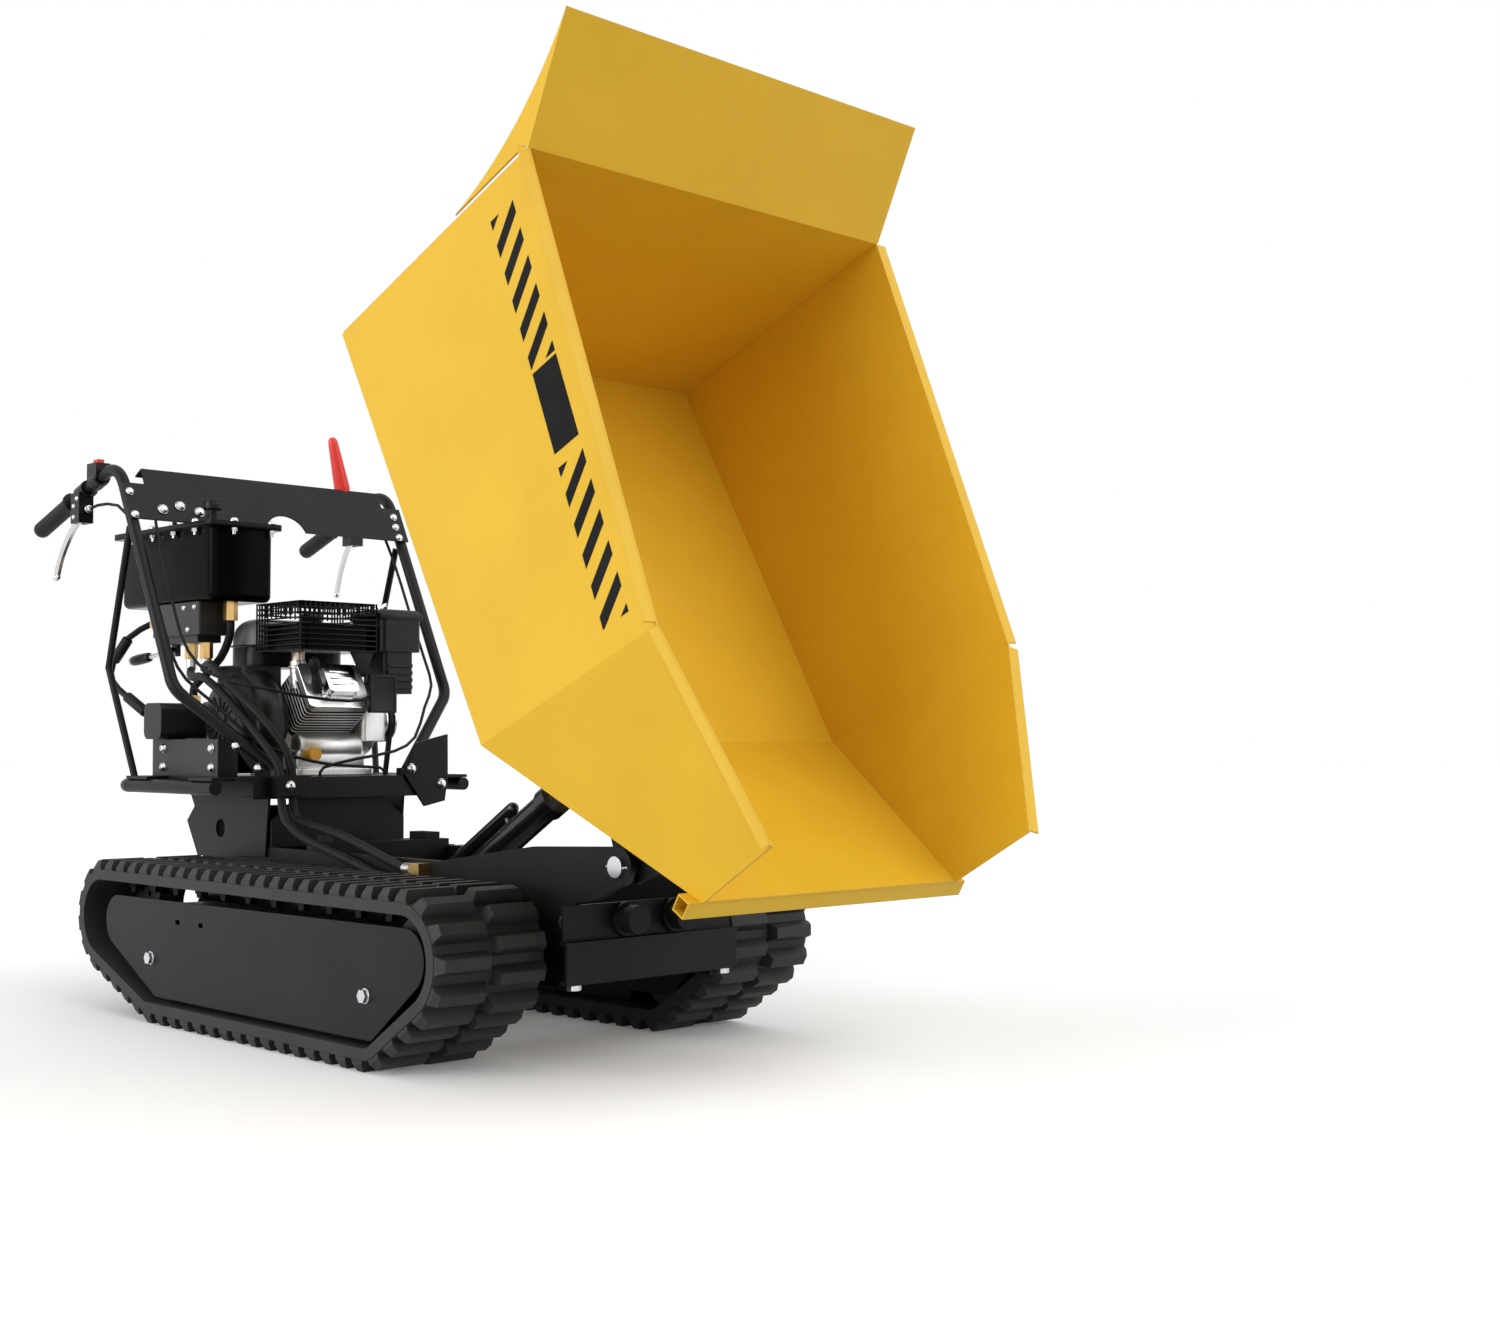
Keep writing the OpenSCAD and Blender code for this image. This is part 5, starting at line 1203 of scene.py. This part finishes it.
@dataclass
class Crankcase:
    """The engine's casting: foot, body, rounded nose, sill, ring round the shaft and exhaust port."""

    crank: Span = (-460.0, 538.0)
    body: Point = (125.0, 160.0, 78.0)
    body_at: Point = (-482.5, 5.0, 445.0)
    shoulder: float = 66.0
    shoulder_share: float = 0.72
    shoulder_about: float = -12.0
    body_soft: float = 8.0
    foot: Point = (186.0, 172.0, 14.0)
    foot_at: Point = (-460.0, 11.0, 431.1)
    foot_round: float = 12.0
    foot_soft: float = 2.0
    sill: Point = (50.0, 150.0, 36.0)
    sill_at: Point = (-400.0, 5.0, 444.0)
    sill_soft: float = 6.0
    nose: Profile = ((18.0, 0.0), (23.0, 1.6), (26.0, 6.0), (26.0, 134.0), (23.0, 138.4), (18.0, 140.0))
    nose_at: Point = (-397.0, -65.0, 487.0)
    nose_sides: int = 40
    ring: Profile = ((74.0, 0.0), (74.0, 34.0), (71.0, 38.6), (60.0, 40.8), (17.0, 41.0), (16.0, 0.6))
    ring_y: float = 81.0
    ring_sides: int = 48
    port: Profile = ((15.0, 0.0), (15.0, 50.0), (14.0, 53.6), (11.5, 54.0))
    port_at: Point = (-400.0, -56.0, 598.0)

    def housing(self) -> Piece:
        """Makes the body with its narrower shoulder.

        Returns:
            The body in its place.
        """
        body = Piece.slab("crankcase", self.body)
        body.pick(top)
        body.extrude((0.0, 0.0, self.shoulder))
        body.widen((self.shoulder_share, 1.0, 1.0),
                   (self.shoulder_about, 0.0, self.body[2] + self.shoulder))
        body.soften(self.body_soft, 4)
        body.place(at(*self.body_at))
        return body

    def build(self) -> None:
        """Makes the casting in place of the plain block."""
        case = self.housing()
        foot = Piece.slab("case_foot", self.foot)
        foot.round_edges(upright, self.foot_round)
        foot.soften(self.foot_soft)
        foot.place(at(*self.foot_at))
        sill = Piece.slab("case_sill", self.sill)
        sill.soften(self.sill_soft, 3)
        sill.place(at(*self.sill_at))
        nose = Piece.turned("case_nose", self.nose, self.nose_sides)
        nose.place(stand_on(self.nose_at, LEFT))
        ring = Piece.turned("case_ring", self.ring, self.ring_sides)
        ring.place(stand_on((self.crank[0], self.ring_y, self.crank[1]), LEFT))
        port = Piece.turned("exhaust_port", self.port)
        port.place(at(*self.port_at))
        case.join([foot, sill, nose, ring, port])
        case.finish("carrier", Finish.ALLOY)
        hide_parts("engine_block")


@dataclass
class FanCover:
    """The fan's cover with its top block, and the ribs and hub of the starter on it."""

    crank: Span = (-460.0, 538.0)
    fan: Profile = (
        (62.0, 0.0), (65.0, 1.5), (72.0, 8.0), (97.0, 30.0), (102.6, 38.0), (102.6, 76.0), (99.0, 82.0),
        (92.0, 84.6), (86.0, 85.0), (78.0, 99.0), (72.0, 103.6), (58.0, 107.0))
    fan_y: float = -75.2
    fan_sides: int = 56
    block: Point = (112.0, 84.0, 96.0)
    block_at: Point = (-474.0, -117.6, 546.0)
    block_round: float = 14.0
    block_soft: float = 3.0
    starter_y: float = -182.0
    spokes: int = 14
    rib: Point = (34.0, 4.2, 3.0)
    rib_soft: float = 1.0
    rib_out: float = 37.0
    rib_sink: float = 0.4
    hub: Profile = ((15.0, -0.5), (15.0, 2.0), (13.6, 3.4), (6.0, 3.8), (5.0, 2.6))

    def cover(self) -> None:
        """Makes the cover in place of the plain housing."""
        fan = Piece.turned("fan_cover", self.fan, self.fan_sides)
        fan.place(stand_on((self.crank[0], self.fan_y, self.crank[1]), RIGHT))
        block = Piece.slab("fan_top", self.block)
        block.round_edges(upright, self.block_round)
        block.soften(self.block_soft)
        block.place(at(*self.block_at))
        fan.join([block])
        fan.finish("carrier", Finish.MOULDED)
        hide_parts("fan_housing")

    def starter(self) -> None:
        """Makes the ribs and the hub on the starter."""
        flat = stand_on((self.crank[0], self.starter_y, self.crank[1]), RIGHT)
        turn = 2 * math.pi / self.spokes
        rib = Piece.slab("starter_ribs", self.rib)
        rib.soften(self.rib_soft)
        hub = Piece.turned("starter_hub", self.hub)
        hub.place(flat)
        rib.scatter([flat @ Matrix.Rotation(i * turn, 4, "Z") @ local(self.rib_out, 0.0, -self.rib_sink)
                     for i in range(self.spokes)])
        rib.join([hub])
        rib.finish("carrier", Finish.MOULDED)


@dataclass
class EngineTrim:
    """Small parts of the engine: plug boot, filter lid with wing nut, choke box, side cover and pipe."""

    boot: Profile = (
        (6.0, 0.0), (8.6, 0.8), (9.4, 5.0), (9.4, 22.0), (8.0, 27.0), (8.0, 38.0), (9.6, 44.0),
        (10.4, 54.0), (9.6, 62.0), (6.4, 66.0), (3.0, 68.0))
    boot_at: Point = (-348.0, -44.0, 592.0)
    boot_out: Point = (0.14, -0.22, 0.96)
    lid: Point = (115.0, 97.0, 12.0)
    lid_at: Point = (-374.0, 125.0, 734.0)
    lid_rise: float = 9.0
    lid_share: float = 0.84
    lid_soft: float = 3.0
    nut: Profile = ((5.5, 0.0), (5.5, 5.0), (4.0, 8.0), (2.4, 8.4), (2.4, 13.0), (1.6, 14.0))
    nut_at: Point = (-374.0, 112.0, 755.0)
    nut_turn: float = 0.5
    nut_sides: int = 18
    wing: Point = (9.0, 2.4, 9.0)
    wing_at: Point = (7.0, 0.0, 1.5)
    wing_lean: Point = (1.5, 0.0, 4.5)
    wing_soft: float = 0.8
    choke: Point = (11.5, 60.0, 74.0)
    choke_at: Point = (-320.0, 82.0, 552.0)
    choke_rim: float = 5.0
    choke_depth: float = 1.6
    choke_soft: float = 2.2
    side: Point = (62.0, 54.0, 76.0)
    side_at: Point = (-402.0, 98.0, 496.0)
    side_round: float = 9.0
    side_rim: float = 6.0
    side_rise: float = 7.0
    side_soft: float = 2.0
    pipe: Profile = (
        (17.0, 0.0), (18.0, 1.0), (18.0, 5.0), (17.0, 6.0), (12.4, 6.4), (12.0, 12.0), (12.0, 30.0),
        (13.4, 32.0))
    pipe_at: Point = (-400.0, -56.0, 636.5)

    def plug_boot(self) -> None:
        """Makes the rubber boot on the spark plug."""
        boot = Piece.turned("plug_boot", self.boot)
        boot.place(stand_on(self.boot_at, self.boot_out))
        boot.finish("carrier", Finish.SOFT)

    def filter_lid(self) -> None:
        """Makes the chamfered filter lid."""
        lid = Piece.slab("filter_lid", self.lid)
        lid.pick(top)
        lid.extrude((0.0, 0.0, self.lid_rise))
        lid.widen((self.lid_share, self.lid_share, 1.0), (0.0, 0.0, self.lid[2] + self.lid_rise))
        lid.soften(self.lid_soft, 3)
        lid.place(at(*self.lid_at))
        lid.finish("carrier", Finish.MOULDED)

    def wing_nut(self) -> None:
        """Makes the wing nut on the filter lid."""
        nut = Piece.turned("wing_nut", self.nut, self.nut_sides)
        wings = Piece.slab("wing", self.wing)
        wings.pick(front)
        wings.shift(self.wing_lean)
        wings.soften(self.wing_soft)
        wings.scatter([Matrix.Rotation(turn, 4, "Z") @ local(*self.wing_at) for turn in (0.0, math.pi)])
        nut.join([wings])
        nut.place(at(*self.nut_at) @ Matrix.Rotation(self.nut_turn, 4, "Z"))
        nut.finish("carrier", Finish.BRIGHT)

    def choke_box(self) -> None:
        """Makes the box below the filter, with a sunk face."""
        choke = Piece.slab("choke_box", self.choke)
        choke.pick(front)
        choke.inset(self.choke_rim)
        choke.extrude((-self.choke_depth, 0.0, 0.0))
        choke.soften(self.choke_soft, 3)
        choke.place(at(*self.choke_at))
        choke.finish("carrier", Finish.MOULDED)

    def side_cover(self) -> None:
        """Makes the cast cover beside the cylinder, with a raised top."""
        cover = Piece.slab("side_cover", self.side)
        cover.round_edges(upright, self.side_round)
        cover.pick(top)
        cover.inset(self.side_rim)
        cover.shift((0.0, 0.0, self.side_rise))
        cover.soften(self.side_soft)
        cover.place(at(*self.side_at))
        cover.finish("carrier", Finish.ALLOY)

    def exhaust_pipe(self) -> None:
        """Makes the flanged pipe from the port to the muffler."""
        pipe = Piece.turned("exhaust_pipe", self.pipe)
        pipe.place(stand_on(self.pipe_at, UP))
        pipe.finish("carrier", Finish.PIPE)


@dataclass
class Engine:
    """The whole engine as it is seen."""

    cylinder: Cylinder = field(default_factory=Cylinder)
    case: Crankcase = field(default_factory=Crankcase)
    fan: FanCover = field(default_factory=FanCover)
    trim: EngineTrim = field(default_factory=EngineTrim)

    def build(self) -> None:
        """Makes the castings and their small parts."""
        self.cylinder.valve_cover()
        self.trim.plug_boot()
        self.trim.filter_lid()
        self.trim.wing_nut()
        self.trim.choke_box()
        self.cylinder.barrel()
        self.case.build()
        self.fan.cover()
        self.trim.side_cover()
        self.trim.exhaust_pipe()
        self.fan.starter()


@dataclass
class Tanks:
    """Moulded oil tank and pressed fuel tank with rounded edges, in place of the plain solids."""

    oil_x: Span = (-870.0, -490.0)
    oil_y: Span = (-190.0, -57.0)
    oil_z: Span = (767.4, 912.3)
    oil_corner: float = 18.0
    oil_foot: float = 13.0
    over: float = 13.0
    flange: float = 4.0
    flange_corner: float = 12.0
    flange_foot: float = 1.2
    fuel_x: Span = (-600.0, -494.0)
    fuel_y: Span = (-98.0, 112.0)
    fuel_z: Point = (642.1, 684.0, 738.0)
    fuel_corner: float = 34.0
    fuel_foot: float = 4.0
    fuel_top: float = 40.0
    seam: float = 4.0
    seam_over: float = 2.5
    seam_corner: float = 31.0
    seam_soft: float = 1.5

    @staticmethod
    def moulded(name: str, spans: Sequence[Span], corner: float, low: float, high: float) -> Piece:
        """Makes a block with rounded corners, foot and top.

        Args:
            name: The piece's name.
            spans: Its spans ahead, across and up.
            corner: Rounding of the upright edges.
            low: Rounding of the foot, or 0.
            high: Rounding of the top, or 0.

        Returns:
            The block in its place.
        """
        x, y, z = spans
        tall = (z[1] - z[0]) * MM
        piece = Piece.slab(name, [end - start for start, end in spans])
        piece.round_edges(upright, corner)
        if low:
            piece.round_edges(lambda a, b: max(a.z, b.z) < NEAR, low)
        if high:
            piece.round_edges(lambda a, b: min(a.z, b.z) > tall - NEAR, high)
        piece.place(at(sum(x) / 2, sum(y) / 2, z[0]))
        return piece

    @staticmethod
    def grown(over: float, *spans: Span) -> list[Span]:
        """Returns spans that reach further at both ends."""
        return [(start - over, end + over) for start, end in spans]

    def oil(self) -> None:
        """Makes the oil tank with the flange under its lid."""
        rim = self.oil_z[1]
        oil = self.moulded("moulded_tank", (self.oil_x, self.oil_y, self.oil_z),
                           self.oil_corner, self.oil_foot, 0.0)
        wide = self.grown(self.over, self.oil_x, self.oil_y)
        flange = self.moulded("tank_flange", [*wide, (rim - self.flange, rim)],
                              self.flange_corner, self.flange_foot, 0.0)
        oil.join([flange])
        oil.finish("carrier", Finish.TANK)
        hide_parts("oil_tank")

    def fuel(self) -> None:
        """Makes the fuel tank's pressed top, its bed and the seam between them."""
        low, middle, high = self.fuel_z
        fuel = self.moulded("pressed_tank", (self.fuel_x, self.fuel_y, (middle, high)),
                            self.fuel_corner, 0.0, self.fuel_top)
        # The top's grey is a painted reflection of the sky on glossy black; the bed below stays black.
        fuel.finish("carrier", Finish.TIN)
        bed = self.moulded("tank_bed", (self.fuel_x, self.fuel_y, (low, middle)),
                           self.fuel_corner, self.fuel_foot, 0.0)
        wide = self.grown(self.seam_over, self.fuel_x, self.fuel_y)
        seam = self.moulded("tank_seam", [*wide, (middle - self.seam / 2, middle + self.seam / 2)],
                            self.seam_corner, self.seam_soft, self.seam_soft)
        bed.join([seam])
        bed.finish("carrier", Finish.MOULDED)
        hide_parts("fuel_tank")

    def build(self) -> None:
        """Makes both tanks."""
        self.oil()
        self.fuel()


@dataclass
class MufflerGuard:
    """Welded wire cage round the muffler and the bracket below it, in place of the plate grille."""

    x: Span = (-488.0, -324.0)
    y: Span = (-97.0, 73.0)
    z: Span = (669.0, 763.0)
    wire: float = 3.0
    soft: float = 0.8
    levels: int = 10
    pitch: float = 10.0
    upper: float = 737.0
    rear_share: float = 0.3
    bracket: Point = (3.0, 54.0, 49.0)
    bracket_at: Point = (-328.0, 40.0, 621.0)
    bracket_share: float = 0.16
    bracket_tip: float = 5.0

    def row(self, start: Point, span: Point, count: int, step: Point) -> Piece:
        """Makes a row of wires.

        Args:
            start: The low corner of the first wire.
            span: The wire's size along each axis; 0 means the wire's own thickness.
            count: How many wires.
            step: The way from one wire to the next.

        Returns:
            The row.
        """
        size = [length or self.wire for length in span]
        rod = Piece.slab("wire_guard", size)
        rod.soften(self.soft)
        rod.place(at(start[0] + size[0] / 2, start[1] + size[1] / 2, start[2]))
        rod.repeat(count, step)
        return rod

    def cage(self) -> None:
        """Makes the cage: a grid on top, rings round the sides, and short and long upright wires."""
        (back, ahead), (right, left), (low, high) = self.x, self.y, self.z
        long, wide, tall, short = ahead - back, left - right, high - low, high - self.upper
        across = int((wide - self.wire) / self.pitch) + 1
        along = int((long - self.wire) / self.pitch) + 1
        dx, dy = (long - self.wire) / (along - 1), (wide - self.wire) / (across - 1)
        dz = (tall - self.wire) / (self.levels - 1)
        rows = [self.row((back, right, high - self.wire), (long, 0, 0), across, (0, dy, 0)),
                self.row((back, right, high - self.wire), (0, wide, 0), along, (dx, 0, 0))]
        for y in (right, left - self.wire):
            rows.append(self.row((back, y, low), (long, 0, 0), self.levels, (0, 0, dz)))
            rows.append(self.row((back, y, self.upper), (0, 0, short), along, (dx, 0, 0)))
            rows.append(self.row((back, y, low), (0, 0, tall), int(along * self.rear_share), (dx, 0, 0)))
        for x in (back, ahead - self.wire):
            rows.append(self.row((x, right, low), (0, wide, 0), self.levels, (0, 0, dz)))
            rows.append(self.row((x, right, self.upper), (0, 0, short), across, (0, dy, 0)))
            rows.append(self.row((x, right, low), (0, 0, tall), 2, (0, wide - self.wire, 0)))
        rows[0].join(rows[1:])
        rows[0].finish("carrier", Finish.FRAME)
        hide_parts("muffler_guard")

    def build(self) -> None:
        """Makes the cage and the tapered bracket."""
        self.cage()
        bracket = Piece.slab("guard_bracket", self.bracket)
        bracket.pick(lambda middle, out: out.z < -FACING)
        bracket.widen((1.0, self.bracket_share, 1.0), (0.0, self.bracket_tip, 0.0))
        bracket.soften(self.soft)
        bracket.place(at(*self.bracket_at))
        bracket.finish("carrier", Finish.FRAME)


@dataclass
class Caps:
    """Screw caps of the fuel and oil tanks, with a gripping edge."""

    fuel: Point = (-547.0, 60.0, 738.0)
    fuel_radius: float = 23.6
    oil: Point = (-535.0, -166.0, 945.4)
    oil_radius: float = 17.6
    edge: Profile = (
        (-1.0, -0.2), (0.0, 1.0), (0.6, 2.0), (0.6, 11.0), (-1.2, 15.2), (-5.0, 16.6), (-9.0, 16.8))
    sides: int = 18
    soft: float = 0.6
    grip_angle: float = 15.0

    def build(self) -> None:
        """Makes both caps."""
        for name, place, wide in (("fuel_cap", self.fuel, self.fuel_radius),
                                  ("oil_cap", self.oil, self.oil_radius)):
            cap = Piece.turned(name, [(wide + r, h) for r, h in self.edge], self.sides)
            cap.soften(self.soft, 2, self.grip_angle)
            cap.place(at(*place))
            cap.finish("carrier", Finish.MOULDED)


@dataclass
class BrightBolts:
    """Chromed domes on the panel, the tank's lid, the valve, the pump's block and the handlebars' feet."""

    bar_low: Span = (-421.0, 594.0)
    lean: float = 27.5
    panel_face: float = 14.5
    panel_inner: Profile = ((-243.0, 387.0), (-205.0, 398.0), (-166.0, 388.0))
    panel_outer: Profile = (
        (-303.0, 422.0), (-303.0, 370.0), (291.0, 421.0), (289.0, 396.0), (290.0, 370.0))
    lid_top: float = 920.4
    lid_x: tuple[float, ...] = (-546.0, -632.0, -718.0, -804.0)
    lid_y: Span = (-196.5, -50.5)
    lid_ends: Profile = ((-483.5, -148.0), (-483.5, -67.0), (-876.5, -148.0), (-876.5, -67.0))
    ahead: tuple[Point, ...] = ((-276.0, -143.0, 415.0), (-294.0, 133.0, 444.0), (-294.0, 203.0, 414.0))
    pump: tuple[Point, ...] = (
        (-412.0, -228.0, 484.0), (-412.0, -228.0, 448.0), (-600.0, -228.0, 484.0), (-600.0, -228.0, 448.0))
    valve: tuple[Point, ...] = (
        (-602.0, -188.0, 757.0), (-586.0, -188.0, 714.0), (-560.0, -188.0, 757.0), (-718.0, -188.0, 757.0),
        (-718.0, -188.0, 714.0))
    foot: Span = (-322.0, -140.0)
    run: Span = (-99.0, -162.0)
    on_foot: Profile = ((36.0, 447.0), (76.0, 489.0))
    half: float = 3.0
    inner_radius: float = 9.6
    outer_radius: float = 7.4
    ahead_radius: float = 8.8
    lid_radius: float = 7.9
    pump_radius: float = 8.0
    valve_radius: float = 5.0

    def on_panel(self, y: float, up: float) -> Matrix:
        """Finds the seat of a bolt on the sloping panel.

        Args:
            y: Millimetres to the left.
            up: Millimetres up the slope.

        Returns:
            The seat.
        """
        a = math.radians(self.lean)
        out = (math.cos(a), 0.0, math.sin(a))
        x = self.bar_low[0] + self.panel_face * out[0] - up * out[2]
        z = self.bar_low[1] + self.panel_face * out[2] + up * out[0]
        return stand_on((x, y, z), out)

    def on_gusset(self, along: float, z: float) -> Matrix:
        """Finds the seat of a bolt on the right gusset.

        Args:
            along: Millimetres along the gusset from its foot.
            z: Millimetres up.

        Returns:
            The seat.
        """
        back = Vector((*self.run, 0.0)).normalized()
        out = Vector((-back.y, back.x, 0.0))
        return stand_on(Vector((*self.foot, z)) + back * along + out * self.half, out)

    def build(self) -> None:
        """Makes the domes as one piece."""
        lid = [(x, y) for x in self.lid_x for y in self.lid_y] + list(self.lid_ends)
        feet = [self.on_gusset(*place) for place in self.on_foot]
        groups = (
            (self.inner_radius, [self.on_panel(*place) for place in self.panel_inner]),
            (self.outer_radius, [self.on_panel(*place) for place in self.panel_outer]),
            (self.ahead_radius, [stand_on(place, AHEAD) for place in self.ahead]),
            (self.lid_radius, [stand_on((x, y, self.lid_top), UP) for x, y in lid]),
            (self.pump_radius, [*(stand_on(place, RIGHT) for place in self.pump), *feet,
                                *(MIRROR @ seat for seat in feet)]),
            (self.valve_radius, [stand_on(place, RIGHT) for place in self.valve]))
        first, *others = [dome("bright_bolts", radius, seats) for radius, seats in groups]
        first.join(others)
        first.finish("carrier", Finish.BRIGHT)


@dataclass
class Studio:
    """Camera, floor and light."""

    eye: Point = (2767.311, -1934.789, 500.0)
    azimuth: float = 45.677
    elevation: float = -2.159
    lens: float = 44.721
    sensor: float = 36.0
    far: float = 200.0
    floor_size: float = 60.0
    floor_z: float = -0.0006
    floor_lit: Colour = (0.45, 0.45, 0.45)
    floor_seen: Colour = (0.9, 0.9, 0.9)
    floor_glow: Colour = (0.09, 0.09, 0.09)
    lamps: tuple[tuple[str, float, Point, float], ...] = (
        ("key", 2.1, (-0.15, -0.95, 0.27), 46.0), ("fill", 1.6, (0.75, 0.25, 0.6), 70.0))
    zenith: float = 0.74
    horizon: float = 0.5

    def camera(self) -> None:
        """Sets up the camera at the photograph's place."""
        a, e = math.radians(self.azimuth), math.radians(self.elevation)
        back = Vector((math.sin(a) * math.cos(e), -math.cos(a) * math.cos(e), math.sin(e)))
        data = bpy.data.cameras.new("camera")
        data.sensor_width = self.sensor
        data.lens = self.lens
        data.clip_end = self.far
        obj = bpy.data.objects.new("camera", data)
        obj.location = at(*self.eye).translation
        obj.rotation_euler = back.to_track_quat("Z", "Y").to_euler()
        bpy.context.scene.collection.objects.link(obj)
        bpy.context.scene.camera = obj

    def floor(self) -> None:
        """Lays a pale floor that keeps the shadow and looks white in the open."""
        Piece.clear()
        bpy.ops.mesh.primitive_plane_add(size=self.floor_size, location=(0, 0, self.floor_z))
        obj = bpy.context.active_object
        obj.name = "floor"
        s = Shader("floor_white")
        seen = s.seen()
        obj.data.materials.append(s.surface({
            "Base Color": s.mix(seen, self.floor_lit, self.floor_seen),
            "Roughness": 0.9,
            "Specular IOR Level": 0.0,
            "Emission Color": s.mix(seen, (0.0, 0.0, 0.0), self.floor_glow),
            "Emission Strength": 1.0,
        }))

    def sky(self) -> None:
        """Makes an even sky that lights softly and is seen as plain white."""
        s = Sky("studio")
        white = (1.0, 1.0, 1.0)
        part = s.add("ShaderNodeSeparateXYZ", {}, {0: s.add("ShaderNodeTexCoord").outputs["Generated"]})
        rise = s.add("ShaderNodeMapRange", {}, {
            "Value": part.outputs["Z"], "To Min": self.horizon, "To Max": self.zenith})
        soft = s.add("ShaderNodeBackground", {}, {"Color": white, "Strength": rise.outputs["Result"]})
        plain = s.add("ShaderNodeBackground", {}, {"Color": white, "Strength": 1.0})
        both = s.add("ShaderNodeMixShader", {}, {0: s.seen(), 1: soft.outputs[0], 2: plain.outputs[0]})
        s.add("ShaderNodeOutputWorld", {}, {"Surface": both.outputs[0]})

    def light(self) -> None:
        """Adds broad soft lamps."""
        for name, power, source, spread in self.lamps:
            data = bpy.data.lights.new(name, "SUN")
            data.energy = power
            data.angle = math.radians(spread)
            lamp = bpy.data.objects.new(name, data)
            lamp.rotation_euler = Vector(source).to_track_quat("Z", "Y").to_euler()
            bpy.context.scene.collection.objects.link(lamp)

    def build(self) -> None:
        """Sets up the whole studio."""
        bpy.context.scene.view_settings.view_transform = "Standard"
        self.camera()
        self.floor()
        self.sky()
        self.light()


def main() -> None:
    """Loads the frame, dresses it and adds the pieces that the solids leave out."""
    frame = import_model()
    Studio().build()
    Dressing().dress(frame["nodes"])
    for assembly in (HazardStripes(), Grips(), Levers(), HoseEnds(), Engine(), Tanks(), MufflerGuard(),
                     Caps(), BrightBolts()):
        assembly.build()


if __name__ == "__main__":
    logging.basicConfig(level=logging.INFO, format="%(name)s: %(message)s")
    main()
